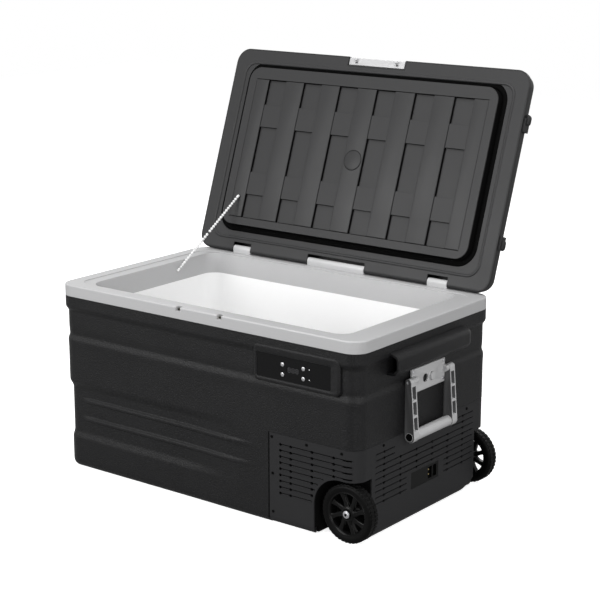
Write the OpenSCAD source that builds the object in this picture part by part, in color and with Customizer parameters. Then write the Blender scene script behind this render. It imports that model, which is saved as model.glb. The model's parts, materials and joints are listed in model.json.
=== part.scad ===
// Compressor cooler fridge with a hinged lid, standing open.
// Millimetres. Origin: centre of the base on the floor. +X along the front, +Y to the back, +Z up.

/* [Body] */
// Length of the body at the rim
body_len = 800; // [740:1:960]
// Depth of the body from front to back
body_dep = 480; // [470:1:576]
// Height from the floor to the top of the rim
body_h = 413; // [403:1:492]
// Radius of the upright corners
corner_r = 35; // [32:1:42]
// Wall of the outer shell
shell_t = 3.5; // [3:0.5:4.5]
// Radius of the rounded bottom edge
bottom_r = 16; // [12:1:18]

/* [Rim and liner] */
// Height of the rim's outer band
rim_band = 25; // [20:1:30]
// Width of the rim's top at the two ends
rim_end_w = 58; // [54:1:70]
// Width of the rim's top at the front and the back
rim_side_w = 36; // [35:1:48]
// Depth of the grey collar below the rim's top
collar_h = 48; // [40:1:60]
// Wall of the rim frame
rim_t = 3; // [2.5:0.5:4]
// Wall of the white liner
liner_t = 2; // [1.5:0.5:3]
// Height of the liner's floor in its deep side
deep_floor_z = 50; // [42:1:70]
// Height of the liner's floor above the compressor
hump_floor_z = 238; // [228:1:250]

/* [Lid] */
// Thickness of the lid
lid_h = 37; // [34:1:44]
// Angle by which the lid stands open
lid_open = 109.4; // [90:0.1:110]
// Wall of the lid's outer shell
lid_t = 3; // [2.5:0.5:4]
// How far the lid's inner plug stands proud
plug_h = 14; // [10:1:18]
// Radius of the hinge pins
hinge_pin_r = 2.5; // [2:0.1:3]

/* [Compressor end] */
// Length of the compressor compartment
comp_len = 224; // [214:1:240]
// Height of the vent panel's top edge
panel_top = 193; // [188:1:197]
// Thickness of the vent panel
panel_t = 3; // [2.5:0.5:3.5]
// Height of a vent slot
slot_h = 3.6; // [2.5:0.1:5]
// Distance between vent slots
slot_pitch = 12.8; // [12:0.1:13.4]

/* [Wheels] */
// Radius of a tyre
wheel_r = 60; // [52:1:61]
// Width of a tyre
wheel_w = 27; // [24:1:34]
// Radius of the axle
axle_r = 5; // [4:0.1:6]

/* [Handles] */
// Distance from a handle's pivot down to its grip
handle_drop = 112; // [104:1:140]
// Width of a handle over its arms
handle_w = 158; // [140:1:190]
// Radius of the grip tube
grip_r = 11; // [9:0.5:12]
// Radius of a handle's pivot pin
pivot_r = 3; // [2.5:0.1:3.4]

/* [Hidden] */
$fn = 64;

run_gap = 0.05;      // running clearance round a pin or a shaft
seat_gap = 0.3;      // gap between a seated piece and its seat

// Outside of the body: insets from the rim's envelope, and the levels where they change
band_b = 6;
band_c = 4;
band_d = 11;
band_e = 7;
ledge_h = 14;
rim_z = body_h - rim_band;
lip_z = rim_z - 25;
lip_slope = 8;
ledge1_z = rim_z - 98;
ledge2_z = panel_top - 10;
ledge3_z = 68;
ledge_end_x = body_len / 2 - 306;
shell_in = band_d + shell_t;
floor_z = 5;
edge_in = band_c + bottom_r;
edge_z = bottom_r;
floor_in = edge_in + 6;
chamfer_z = floor_z + 14;
thick_z = ledge2_z + ledge_h + 6;

// Rim and liner
rim_plate_t = 5;
rim_edge_r = 3;
rim_ring_w = 20;
tongue_h = 10;
open_w = body_len - 2 * rim_end_w;
open_d = body_dep - 2 * rim_side_w;
open_r = corner_r - 3;
step_w = body_len - 60;
step_d = body_dep - 58;
step_h = 1.5;
collar_z = body_h - collar_h;
comp_x = body_len / 2 - comp_len;
deep_x1 = comp_x - 48;
comp_top = hump_floor_z - liner_t - 35;
evap_t = 1.5;
evap_z0 = deep_floor_z + 20;
evap_z1 = comp_top - 8;

// Foam
foam_in = shell_in + 0.5;

// Lid, drawn shut and then turned open about its hinge
lid_z = body_h + 1;
lid_len = body_len - 4;
lid_dep = body_dep - 1;
lid_r = corner_r - 1;
lid_lip = 7.5;
lid_in = 4;
lid_edge_r = 16;
lid_top = lid_z + lid_h;
hinge_r = 8.5;
hinge_y = lid_dep / 2 - hinge_r;
hinge_z = lid_z + hinge_r;
hinge_clear_r = 14;
hinge_ear_r = 7;
hinge_ear_w = 14;
KNUCKLES = [[-(body_len / 2 - 130), 25], [0, 78], [body_len / 2 - 130, 25]];
plug_x = open_w / 2 - 4.5;
plug_y0 = -(open_d / 2 - 9);
plug_y1 = open_d / 2 - 27;
plug_r = 30;
groove_w = 15;
groove_h = 8;
gasket_x = step_w / 2 - 4.5;
gasket_y = open_d / 2 + 3.5;
gasket_w = 5;
gasket_seat = 2.5;
gasket_r = corner_r - 7;
panel_x = plug_x - 21;
panel_y0 = plug_y0 + 28;
panel_y1 = plug_y1 - 18;
weave_n = 6;
weave_pitch = 102;
weave_w = 50;
weave_depth = 5;
panel_depth = 1;
WEAVE_ROWS = [[0, 0.17], [0.33, 0.66], [0.82, 1]];
cap_r = 22;
latch_w = 150;
latch_y0 = -(lid_dep / 2 - 2);
latch_y1 = latch_y0 + 16;
latch_pivot_y = (latch_y0 + latch_y1) / 2;
latch_pivot_z = lid_z + 18.5;
latch_r = (latch_y1 - latch_y0) / 2;
latch_pin_r = 2;
latch_gap = 1.2;
hook_x = 55;
hook_w = 9;
hook_h = 7;

// Wheels, their wells and the axle
axle_x = body_len / 2 - 33;
axle_z = wheel_r + 0.5;
wheel_out = body_dep / 2 - 8;
wheel_in = wheel_out - wheel_w;
tyre_edge_r = 4;
hub_r = 16;
spoke_n = 8;
spoke_w = 10;
arch_x = axle_x - 14;
arch_z = axle_z + 5.5;
arch_r = wheel_r + 2;
arch_land = 5;
well_y = wheel_in - 18;
well_t = 3;

// Vent panel
panel_out = band_c + 0.5;
seat_in = panel_out + panel_t + seat_gap;
panel_x0 = comp_x + 3;
seat_x0 = panel_x0 - 0.5;
slot_z0 = panel_top - 21;
slot_x0 = comp_x + 31;
slot_x1 = body_len / 2 - 18;
slot_rows = 9;
panel_z0 = 4;
dot_r = 3.2;
socket_y = 50;
socket_z0 = 65;
socket_z1 = 100;
socket_depth = 9;
SCREWS_FRONT = [[comp_x + 10, panel_top - 8.5], [comp_x + 97, panel_top - 8.5],
  [body_len / 2 - 41.5, panel_top - 8.5], [comp_x + 12, panel_top - 85], [comp_x + 13, 27]];
SCREWS_END = [[-148, panel_top - 7], [154.5, panel_top - 8.5]];
vent_screw_r = 1.5;
vent_screw_head = 2.8;

// Control panel
bezel_x0 = body_len / 2 - 257;
bezel_x1 = body_len / 2 - 44;
bezel_z0 = ledge1_z + 7;
bezel_z1 = rim_z - 14;
bezel_y = -(body_dep / 2 + 0.5);
win_x0 = bezel_x0 + 9;
win_x1 = bezel_x1 - 22;
win_z0 = bezel_z0 + 10;
win_z1 = bezel_z1 - 18;
win_y = bezel_y + 1.5;
win_t = 2.5;
board_y = win_y + win_t + 5.5;
board_t = 2;
button_r = 3;
BUTTON_X = [win_x0 + 64.5, win_x0 + 116];
BUTTON_Z = [win_z1 - 16, win_z1 - 36.5];
display_x0 = win_x0 + 74;
display_x1 = win_x0 + 106;
display_z0 = win_z1 - 32;
display_z1 = win_z1 - 18;
led_x = win_x0 + 130;
led_r = 1.2;

// Strap hoods on the two ends
hood_y0 = -137;
hood_y1 = 140;
hood_z0 = ledge1_z + 36;
hood_z1 = rim_z - 13;
hood_out = 27;
hood_slope = 8;
hood_t = 4;

// Handles
wall_x = body_len / 2 - band_c;
pivot_x = wall_x + 8.5;
pivot_z = ledge1_z + 8;
grip_x = wall_x + 13;
grip_z = pivot_z - handle_drop;
arm_w = 18;
arm_y1 = handle_w / 2;
arm_y0 = arm_y1 - arm_w;
arm_top_r = 7.5;
arm_end_r = grip_r + 1;
arm_wall = 3;
web_t = 4;
plate_y = arm_y0 - 1.5;
plate_z0 = pivot_z - 29;
plate_z1 = pivot_z + 20.5;
plate_t = 4;
handle_screw_r = 1.9;
lug_r = 7;
lug_w = 9;
boss_y = 12;
boss_z = pivot_z - 6;
boss_r = 9;
handle_screw_head = 3.5;
HANDLE_SCREWS = [for (y = [-1, 1], z = [plate_z0 + 8, plate_z1 - 5]) [y * (plate_y - 5), z]];

// Machinery
chassis_z = floor_z + 2;
compressor_x = comp_x + 89;
compressor_y = -108;
compressor_z = chassis_z + 8;
compressor_h = 112;
compressor_r = 58;
drier_y0 = 43;
drier_y1 = 83;
fan_x = comp_x + 112;
fan_y = 62;
fan_z = 84;
fan_size = 120;
fan_t = 25;
fan_r = 54;
fan_shaft_r = 2.5;
pipe_r = 3;
elbow_grow = 0.6;

// Stay chain: one run hangs on the rim, the other on the lid
bead_r = 2.5;
bead_pitch = 6.2;
anchor_r = 3;
CHAIN_A = [-(open_w / 2 - 4), 78, collar_z + 26];
CHAIN_B = [-(plug_x - 40.5), 112, lid_z - plug_h - 4];

// ---------- shared shapes ----------

function arc(cx, cy, r, a0, a1, n) =
  [for (i = [0:n]) let (a = a0 + (a1 - a0) * i / n) [cx + r * cos(a), cy + r * sin(a)]];

function turn_open(p) =
  let (y = p[1] - hinge_y, z = p[2] - hinge_z, c = cos(-lid_open), s = sin(-lid_open))
  [p[0], hinge_y + y * c - z * s, hinge_z + y * s + z * c];

// Rectangle with round corners
module rrect(w, d, r) {
  square([w - 2 * r, d], center = true);
  square([w, d - 2 * r], center = true);
  for (x = [-1, 1], y = [-1, 1])
    translate([x * (w / 2 - r), y * (d / 2 - r)]) circle(r);
}

// Upright block with round corners between two heights
module rblock(x0, x1, y0, y1, r, z0, z1) {
  translate([(x0 + x1) / 2, (y0 + y1) / 2, z0])
    linear_extrude(z1 - z0) rrect(x1 - x0, y1 - y0, r);
}

// Plain block between two corners
module block(x0, x1, y0, y1, z0, z1) {
  translate([x0, y0, z0]) cube([x1 - x0, y1 - y0, z1 - z0]);
}

// Sweeps a wall's section (x = 0 outside, negative inside, y up) round a rounded rectangle
module ring(w, d, r) {
  for (i = [0:3]) {
    across = i % 2 == 0 ? w : d;
    along = i % 2 == 0 ? d : w;
    rotate(90 * i) {
      translate([across / 2, along / 2 - r, 0])
        rotate([90, 0, 0]) linear_extrude(along - 2 * r) children();
      translate([across / 2 - r, along / 2 - r, 0])
        rotate_extrude(angle = 90) translate([r, 0]) children();
    }
  }
}

module rod_x(x0, x1, y, z, r) translate([x0, y, z]) rotate([0, 90, 0]) cylinder(h = x1 - x0, r = r);

module rod_y(y0, y1, x, z, r) translate([x, y0, z]) rotate([-90, 0, 0]) cylinder(h = y1 - y0, r = r);

// Extrudes a drawing of x and z along the depth, or of y and z along the length
module along_y(y0, y1) translate([0, y1, 0]) rotate([90, 0, 0]) linear_extrude(y1 - y0) children();

module along_x(x0, x1) translate([x0, 0, 0]) rotate([90, 0, 90]) linear_extrude(x1 - x0) children();

module both_sides() {
  children();
  mirror([0, 1, 0]) children();
}

module turned_open() {
  translate([0, hinge_y, hinge_z]) rotate([-lid_open, 0, 0]) translate([0, -hinge_y, -hinge_z]) children();
}

// ---------- outer shell ----------

module shell_section() {
  polygon(concat(
    [[0, rim_z], [0, lip_z], [-band_b, lip_z - lip_slope], [-band_b, ledge1_z + ledge_h],
      [-band_c, ledge1_z]],
    arc(-edge_in, edge_z, bottom_r, 0, -90, 6),
    [[-floor_in, 0], [-floor_in, floor_z], [-shell_in, chamfer_z], [-shell_in, thick_z],
      [-band_c - shell_t, thick_z + 6], [-band_c - shell_t, ledge1_z - 2],
      [-band_b - shell_t, ledge1_z + ledge_h - 2], [-band_b - shell_t, lip_z - lip_slope - 2],
      [-shell_t, lip_z - 2], [-shell_t, rim_z]]));
}

// What is cut away for the recessed lower bands of the front, the left end and the back
module lower_band_cut() {
  intersection() {
    ring(body_len, body_dep, corner_r)
      polygon([[2, ledge2_z + ledge_h], [-band_c, ledge2_z + ledge_h], [-band_d, ledge2_z],
        [-band_d, ledge3_z + ledge_h], [-band_e, ledge3_z], [-band_e, 0], [2, 0]]);
    block(-body_len, ledge_end_x, -body_dep, body_dep, 0, body_h);
  }
}

module panel_seat_cut() {
  intersection() {
    ring(body_len, body_dep, corner_r)
      polygon(concat([[2, 0], [2, panel_top + 0.5], [-seat_in, panel_top + 0.5]],
        arc(-edge_in, edge_z, edge_in - seat_in, 0, -90, 6), [[-edge_in, 0]]));
    block(seat_x0, body_len, -body_dep, body_dep, 0, body_h);
  }
  intersection() {
    ring(body_len, body_dep, corner_r)
      polygon([[2, 24], [2, panel_top - 18], [-floor_in - 1, panel_top - 18], [-floor_in - 1, 24]]);
    block(panel_x0 + 18, body_len, -body_dep, body_dep, 0, body_h);
  }
}

// Outline of a wheel arch, grown by g
module arch_outline(g) {
  translate([arch_x - arch_r - g, -20]) square([arch_r + g, arch_z + 20]);
  translate([arch_x, arch_z]) circle(arch_r + g);
  translate([arch_x, -20]) square([200, arch_z + arch_r + g + 20]);
}

module arch_cut(g) both_sides() along_y(-body_dep, -well_y + g) arch_outline(g);

module bezel_block() {
  along_y(bezel_y, -(body_dep / 2 - band_b - 1))
    translate([(bezel_x0 + bezel_x1) / 2, (bezel_z0 + bezel_z1) / 2])
      rrect(bezel_x1 - bezel_x0, bezel_z1 - bezel_z0, 10);
}

module bezel_cut() {
  block(win_x0, win_x1, bezel_y - 1, win_y + win_t, win_z0, win_z1);
  block(win_x0 + 6, win_x1 - 6, win_y, -(body_dep / 2 - foam_in), win_z0 + 4, win_z1 - 4);
}

module body_ribs() {
  both_sides() for (z = [ledge3_z + 89, ledge3_z + 47])
    along_x(-(body_len / 2 - 64), ledge_end_x + 45)
      polygon([[-(body_dep / 2 - band_d - 1), z - 5], [-(body_dep / 2 - band_d + 4), z - 5],
        [-(body_dep / 2 - band_d + 4), z + 2], [-(body_dep / 2 - band_d), z + 5],
        [-(body_dep / 2 - band_d - 1), z + 5]]);
}

module vent_screw_holes(r) {
  both_sides() for (p = SCREWS_FRONT)
    rod_y(-body_dep / 2, -(body_dep / 2 - seat_in - 6), p[0], p[1], r);
  for (p = SCREWS_END) rod_x(body_len / 2 - seat_in - 6, body_len / 2, p[0], p[1], r);
}

module handle_screw_shanks(side) {
  for (p = HANDLE_SCREWS)
    rod_x(side > 0 ? wall_x - 8 : -wall_x - plate_t, side > 0 ? wall_x + plate_t : -wall_x + 8,
      p[0], p[1], handle_screw_r);
}

module outer_shell() {
  color([0.16, 0.16, 0.165]) difference() {
    union() {
      difference() {
        union() {
          ring(body_len, body_dep, corner_r) shell_section();
          linear_extrude(floor_z)
            rrect(body_len - 2 * edge_in, body_dep - 2 * edge_in, corner_r - edge_in);
        }
        lower_band_cut();
        panel_seat_cut();
      }
      body_ribs();
      bezel_block();
    }
    arch_cut(well_t);
    bezel_cut();
    vent_screw_holes(vent_screw_r);
    for (side = [-1, 1]) handle_screw_shanks(side);
  }
}

// ---------- rim, liner and foam ----------

module rim_section() {
  polygon(concat([[0, rim_z]], arc(-rim_edge_r, body_h - rim_edge_r, rim_edge_r, 0, 90, 6),
    [[-rim_ring_w, body_h], [-rim_ring_w, body_h - rim_plate_t],
      [-shell_t - seat_gap - rim_t, body_h - rim_plate_t],
      [-shell_t - seat_gap - rim_t, rim_z - tongue_h], [-shell_t - seat_gap, rim_z - tongue_h],
      [-shell_t - seat_gap, rim_z]]));
}

module opening_block(g, z0, z1) {
  rblock(-open_w / 2 - g, open_w / 2 + g, -open_d / 2 - g, open_d / 2 + g, open_r + g, z0, z1);
}

module rim_frame() {
  color([0.72, 0.72, 0.72]) difference() {
    union() {
      ring(body_len, body_dep, corner_r) rim_section();
      translate([0, 0, body_h - rim_plate_t]) linear_extrude(rim_plate_t)
        rrect(body_len - 2 * rim_ring_w + 2, body_dep - 2 * rim_ring_w + 2, corner_r - rim_ring_w + 1);
      opening_block(rim_t, collar_z, body_h);
    }
    opening_block(0, collar_z - 1, body_h + 1);
    rblock(-step_w / 2, step_w / 2, -step_d / 2, step_d / 2, corner_r - 2, body_h - step_h, body_h + 1);
    for (x = [-hook_x, hook_x]) {
      block(x - 6, x + 6, -body_dep, -(body_dep / 2 - 9.5), body_h - 9, body_h + 1);
      block(x - 3, x + 3, -body_dep, -(body_dep / 2 - 13), body_h - 7.5, body_h - 1.5);
    }
  }
}

// Outside of the tub grown by g: a deep side and a shallow side above the compressor
module tub(g, top) {
  rblock(-open_w / 2 - g, deep_x1 + g, -open_d / 2 - g, open_d / 2 + g, open_r + g, deep_floor_z - g, top);
  opening_block(g, hump_floor_z - g, top);
}

module inner_liner() {
  color([0.96, 0.96, 0.96]) difference() {
    tub(liner_t, collar_z);
    tub(0, collar_z + 1);
  }
}

module evaporator_block() {
  grow = liner_t + evap_t;
  rblock(-open_w / 2 - grow, deep_x1 + grow, -open_d / 2 - grow, open_d / 2 + grow, open_r + grow,
    evap_z0, evap_z1);
}

module evaporator() {
  color([0.7, 0.72, 0.74]) difference() {
    evaporator_block();
    tub(liner_t, collar_z);
  }
}

module insulation_foam() {
  color([0.93, 0.88, 0.66]) difference() {
    union() {
      rblock(-(body_len / 2 - floor_in - 0.5), body_len / 2 - floor_in - 0.5,
        -(body_dep / 2 - floor_in - 0.5), body_dep / 2 - floor_in - 0.5, corner_r - floor_in - 0.5,
        floor_z, chamfer_z + 1);
      rblock(-(body_len / 2 - foam_in), body_len / 2 - foam_in, -(body_dep / 2 - foam_in),
        body_dep / 2 - foam_in, corner_r - foam_in, chamfer_z + 1, body_h - rim_plate_t);
    }
    block(comp_x, body_len, -body_dep, body_dep, 0, comp_top);
    tub(liner_t, body_h);
    opening_block(rim_t, collar_z, body_h);
    evaporator_block();
    block(win_x0 + 5, win_x1 - 5, -body_dep, board_y + board_t + 4, win_z0 + 3, win_z1 - 3);
    suction_line();
    capillary_line();
  }
}

// ---------- floor of the compressor compartment ----------

module base_chassis() {
  color([0.5, 0.5, 0.52]) difference() {
    block(comp_x + 4, body_len / 2 - floor_in - 4, -(well_y - 6), well_y - 6, floor_z, chassis_z);
    for (p = GROMMETS) translate([p[0], p[1], floor_z - 1]) cylinder(h = 8, r = 4);
  }
}

// Space behind the vent panel, with its round corners and bottom edge
module inside_panel() {
  rblock(0, body_len / 2 - edge_in, -(body_dep / 2 - edge_in), body_dep / 2 - edge_in, corner_r - edge_in,
    floor_z, body_h);
  rblock(0, body_len / 2 - seat_in, -(body_dep / 2 - seat_in), body_dep / 2 - seat_in, corner_r - seat_in,
    edge_z, body_h);
}

module wheel_wells() {
  color([0.07, 0.07, 0.07]) both_sides() difference() {
    union() {
      difference() {
        intersection() {
          along_y(-body_dep, -well_y + well_t) arch_outline(well_t);
          inside_panel();
        }
        along_y(-body_dep, -well_y) arch_outline(0);
      }
      rod_y(-wheel_in - 0.5, -well_y + well_t, axle_x, axle_z, axle_r + 4);
    }
    rod_y(-body_dep, 0, axle_x, axle_z, axle_r);
  }
}

// ---------- vent panel and sockets ----------

// Where the front slots end: at the corner, or short of the wheel arch
function slot_end(z) =
  z > arch_z + arch_r + arch_land ? slot_x1
  : arch_x - sqrt(pow(arch_r + arch_land, 2) - pow(max(z - arch_z, 0), 2));

module slot_run(x0, x1, z, dots) {
  translate([x0, z - slot_h / 2]) square([x1 - x0, slot_h]);
  for (d = dots) if (d >= x0 - 1 && d < x1 - 2) translate([d, z]) circle(dot_r);
}

module front_slots() {
  dots = [slot_x0, slot_x0 + 26, slot_x0 + 79, slot_x0 + 132];
  for (i = [0:slot_rows - 1]) {
    z = slot_z0 - i * slot_pitch;
    slot_run(slot_x0, slot_end(z), z, dots);
  }
}

module end_slots() {
  dots = [for (k = [0:5]) -145 + 57 * k];
  for (i = [0:slot_rows - 1]) {
    z = slot_z0 - i * slot_pitch;
    runs = i < 2 ? [[-174, -108], [100, 180]] : z - slot_h > socket_z1 + 4 ? [[-174, 180]]
      : [[-174, -65], [70, 180]];
    for (r = runs) slot_run(r[0], r[1], z, dots);
  }
}

module panel_section() {
  outer = edge_in - panel_out;
  polygon(concat([[-panel_out, panel_top]], arc(-edge_in, edge_z, outer, 0, -90, 6),
    arc(-edge_in, edge_z, outer - panel_t, -90, 0, 6), [[-panel_out - panel_t, panel_top]]));
}

module vent_panel() {
  color([0.25, 0.25, 0.255]) difference() {
    intersection() {
      ring(body_len, body_dep, corner_r) panel_section();
      block(panel_x0, body_len, -body_dep, body_dep, panel_z0, body_h);
    }
    arch_cut(0);
    both_sides() along_y(-body_dep, -(body_dep / 2 - seat_in - 3)) front_slots();
    along_x(body_len / 2 - seat_in - 3, body_len) end_slots();
    along_x(body_len / 2 - seat_in - 3, body_len)
      translate([-socket_y, socket_z0]) square([2 * socket_y, socket_z1 - socket_z0]);
    along_x(body_len / 2 - corner_r, body_len)
      polygon([[well_y - 51, 0], [well_y + 8, 28], [body_dep, 28], [body_dep, 0]]);
    vent_screw_holes(vent_screw_r + 0.1);
  }
}

module vent_screw() {
  cylinder(h = 1.4, r = vent_screw_head);
  translate([0, 0, -panel_t - 5]) cylinder(h = panel_t + 5, r = vent_screw_r);
}

module vent_panel_screws() {
  color([0.08, 0.08, 0.08]) {
    both_sides() for (p = SCREWS_FRONT)
      translate([p[0], -(body_dep / 2 - panel_out), p[1]]) rotate([90, 0, 0]) vent_screw();
    for (p = SCREWS_END) translate([body_len / 2 - panel_out, p[0], p[1]]) rotate([0, 90, 0]) vent_screw();
  }
}

// Black recessed panel: a bare plate on the left, a power socket on the right
module socket_panel() {
  x = body_len / 2 - panel_out;
  color([0.05, 0.05, 0.05]) difference() {
    union() {
      block(x - 2, x - 0.5, -socket_y + seat_gap, socket_y - seat_gap, socket_z0 + seat_gap,
        socket_z1 - seat_gap);
      block(x - 5, x - panel_t - 0.3, -socket_y - 5, socket_y + 5, socket_z0 - 4, socket_z1 + 4);
      block(x - 4, x - 1, -socket_y + seat_gap, socket_y - seat_gap, socket_z0 + seat_gap,
        socket_z1 - seat_gap);
      block(x - socket_depth - 1, x - 4, 11, 46, socket_z0 + 3, socket_z1 - 3);
    }
    for (y = [13, 30]) block(x - socket_depth, x + 1, y, y + 14, socket_z0 + 5, socket_z1 - 5);
  }
}

module dc_inlet() {
  x = body_len / 2 - panel_out;
  zm = (socket_z0 + socket_z1) / 2;
  color([0.75, 0.7, 0.5]) for (z = [zm - 5, zm + 5]) rod_x(x - socket_depth, x - 4, 20, z, 1.5);
}

// ---------- strap hoods ----------

module hood_outline(g) {
  x0 = body_len / 2 - band_b;
  polygon([[x0, hood_z1 - 1.2 * g], [x0 + hood_out - g, hood_z1 - hood_slope - g],
    [x0 + hood_out - g, hood_z0 + 10 + 0.5 * g], [x0 + hood_out - 11 - 0.5 * g, hood_z0 + g],
    [x0, hood_z0 + g]]);
}

// The shell's lip, which the top of a hood meets
module lip_outline() {
  x0 = body_len / 2 - band_b;
  polygon([[x0 - 1, lip_z - lip_slope], [x0, lip_z - lip_slope], [x0 + band_b, lip_z],
    [x0 + band_b, rim_z], [x0 - 1, rim_z]]);
}

module strap_hood() {
  color([0.16, 0.16, 0.165]) difference() {
    along_y(hood_y0, hood_y1) hood_outline(0);
    along_y(hood_y0 - 1, hood_y1 + 1) {
      hood_outline(hood_t);
      lip_outline();
    }
  }
}

module strap_hood_right() strap_hood();

module strap_hood_left() mirror([1, 0, 0]) strap_hood();

// ---------- control panel ----------

module control_window() {
  color([0.02, 0.02, 0.02]) difference() {
    block(win_x0, win_x1, win_y, win_y + win_t, win_z0, win_z1);
    for (x = BUTTON_X, z = BUTTON_Z) rod_y(win_y - 1, win_y + win_t + 1, x, z, button_r + run_gap);
    block(display_x0, display_x1, win_y - 1, win_y + win_t + 1, display_z0, display_z1);
    for (z = BUTTON_Z) rod_y(win_y - 1, win_y + win_t + 1, led_x, z, led_r);
  }
}

module display_module() {
  color([0.12, 0.12, 0.12])
    block(display_x0, display_x1, win_y + 0.3, board_y, display_z0, display_z1);
}

module led_indicators() {
  color([0.6, 0.6, 0.6]) for (z = BUTTON_Z) rod_y(win_y, board_y, led_x, z, led_r);
}

module control_board() {
  color([0.1, 0.3, 0.15]) {
    block(win_x0 + 8, win_x1 - 8, board_y, board_y + board_t, win_z0 + 6, win_z1 - 6);
    for (x = [win_x0 + 14, win_x1 - 14], z = [win_z0 + 12, win_z1 - 12])
      rod_y(win_y + win_t, board_y, x, z, 3);
  }
}

module button(x, z) {
  color([0.7, 0.7, 0.7]) {
    rod_y(win_y - 1, board_y - 1.5, x, z, button_r);
    rod_y(win_y + win_t + 0.2, win_y + win_t + 1.4, x, z, button_r + 1);
  }
}

module power_button() button(BUTTON_X[0], BUTTON_Z[0]);

module settings_button() button(BUTTON_X[0], BUTTON_Z[1]);

module plus_button() button(BUTTON_X[1], BUTTON_Z[0]);

module minus_button() button(BUTTON_X[1], BUTTON_Z[1]);

// ---------- machinery ----------

GROMMETS = [for (a = [90, 210, 330]) [compressor_x + 66 * cos(a), compressor_y + 66 * sin(a)]];

module compressor() {
  color([0.1, 0.1, 0.1]) translate([compressor_x, compressor_y, compressor_z]) {
    rotate_extrude() {
      square([compressor_r - 14, compressor_h]);
      square([compressor_r, compressor_h - 14]);
      translate([compressor_r - 14, compressor_h - 14]) circle(14);
    }
    for (a = [90, 210, 330]) rotate(a) difference() {
      translate([40, -12, 0]) cube([38, 24, 3]);
      translate([66, 0, -1]) cylinder(h = 5, r = 4);
    }
  }
}

module compressor_grommets() {
  color([0.15, 0.15, 0.15]) for (p = GROMMETS) translate([p[0], p[1], floor_z]) {
    cylinder(h = compressor_z - floor_z + 5, r = 4);
    translate([0, 0, chassis_z - floor_z]) cylinder(h = compressor_z - chassis_z, r = 9);
    translate([0, 0, compressor_z + 3 - floor_z]) cylinder(h = 4, r = 8);
  }
}

// Finned block between two end plates, with its tube bends at one end
module condenser() {
  x0 = fan_x + fan_t + 6;
  color([0.72, 0.74, 0.76]) {
    for (y = [-62, 60]) block(x0, x0 + 24, fan_y + y, fan_y + y + 2, chassis_z, fan_z + 62);
    for (z = [fan_z - 54 : 12 : fan_z + 54]) rod_y(fan_y - 64, fan_y + 64, x0 + 12, z, 4);
    for (y = [-54 : 9 : 54]) block(x0 + 1, x0 + 23, fan_y + y, fan_y + y + 0.8, fan_z - 58, fan_z + 58);
  }
}

module fan_frame() {
  color([0.12, 0.12, 0.12]) difference() {
    union() {
      difference() {
        block(fan_x, fan_x + fan_t, fan_y - fan_size / 2, fan_y + fan_size / 2, chassis_z,
          fan_z + fan_size / 2);
        rod_x(fan_x - 1, fan_x + fan_t + 1, fan_y, fan_z, fan_r + 3);
      }
      rod_x(fan_x + 18, fan_x + fan_t, fan_y, fan_z, 20);
      for (a = [45 : 90 : 315]) translate([fan_x + 20, fan_y, fan_z]) rotate([a, 0, 0])
        translate([0, -2, 15]) cube([4, 4, fan_r - 10]);
    }
    rod_x(fan_x - 1, fan_x + fan_t + 1, fan_y, fan_z, fan_shaft_r + run_gap);
  }
}

module fan_rotor() {
  color([0.2, 0.2, 0.2]) {
    rod_x(fan_x + 3, fan_x + 17.5, fan_y, fan_z, 19);
    rod_x(fan_x + 17, fan_x + fan_t - 1, fan_y, fan_z, fan_shaft_r);
    for (k = [0:6]) translate([fan_x + 10, fan_y, fan_z]) rotate([k * 360 / 7, 0, 0])
      translate([0, 0, 17]) rotate([0, 0, 35]) translate([-1, -9, 0]) cube([2, 18, fan_r - 19]);
  }
}

module power_module() {
  color([0.3, 0.3, 0.32]) {
    block(comp_x + 12, comp_x + 62, 120, 184, chassis_z, chassis_z + 80);
    for (k = [0:7]) block(comp_x + 62, comp_x + 72, 122 + 8 * k, 125 + 8 * k, chassis_z, chassis_z + 80);
  }
}

// Straight pipes from point to point, with a round elbow at each turn
module pipe_run(points, r) {
  for (i = [0:len(points) - 2]) {
    d = points[i + 1] - points[i];
    translate(points[i]) rotate([0, acos(d[2] / norm(d)), atan2(d[1], d[0])]) cylinder(h = norm(d), r = r);
  }
  for (i = [1:len(points) - 2]) translate(points[i]) sphere(r + elbow_grow);
}

module suction_line() {
  x = deep_x1 + liner_t + evap_t;
  pipe_run([[x, -150, 150], [comp_x + 20, -150, 150], [comp_x + 20, compressor_y, 150],
    [compressor_x, compressor_y, 150], [compressor_x, compressor_y, compressor_z + compressor_h]], pipe_r);
}

module capillary_line() {
  x = deep_x1 + liner_t + evap_t;
  pipe_run([[x, 0, 120], [comp_x + 30, 0, 120], [comp_x + 30, drier_y0, 120]], pipe_r);
}

module refrigerant_pipes() {
  x0 = fan_x + fan_t + 18;
  color([0.72, 0.45, 0.2]) {
    suction_line();
    capillary_line();
    pipe_run([[comp_x + 30, drier_y1, 120], [comp_x + 30, 100, 120], [comp_x + 30, 100, 170],
      [x0, 100, 170], [x0, fan_y + 61, 170], [x0, fan_y + 61, fan_z + 62]], pipe_r);
    pipe_run([[compressor_x + compressor_r, compressor_y, 90], [x0, compressor_y, 90],
      [x0, fan_y - 64, 90]], pipe_r);
  }
}

module filter_drier() {
  color([0.75, 0.5, 0.3]) rod_y(drier_y0, drier_y1, comp_x + 30, 120, 9);
}

// ---------- wheels ----------

module axle() color([0.7, 0.7, 0.72]) rod_y(-(wheel_out - 1), wheel_out - 1, axle_x, axle_z, axle_r);

module axle_caps() {
  color([0.75, 0.75, 0.77]) both_sides() difference() {
    union() {
      rod_y(-wheel_out - 0.5, -wheel_out + 3, axle_x, axle_z, axle_r + 2.5);
      rod_y(-wheel_out - 2, -wheel_out, axle_x, axle_z, axle_r);
    }
    rod_y(-wheel_out + 1, 0, axle_x, axle_z, axle_r);
  }
}

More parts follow.
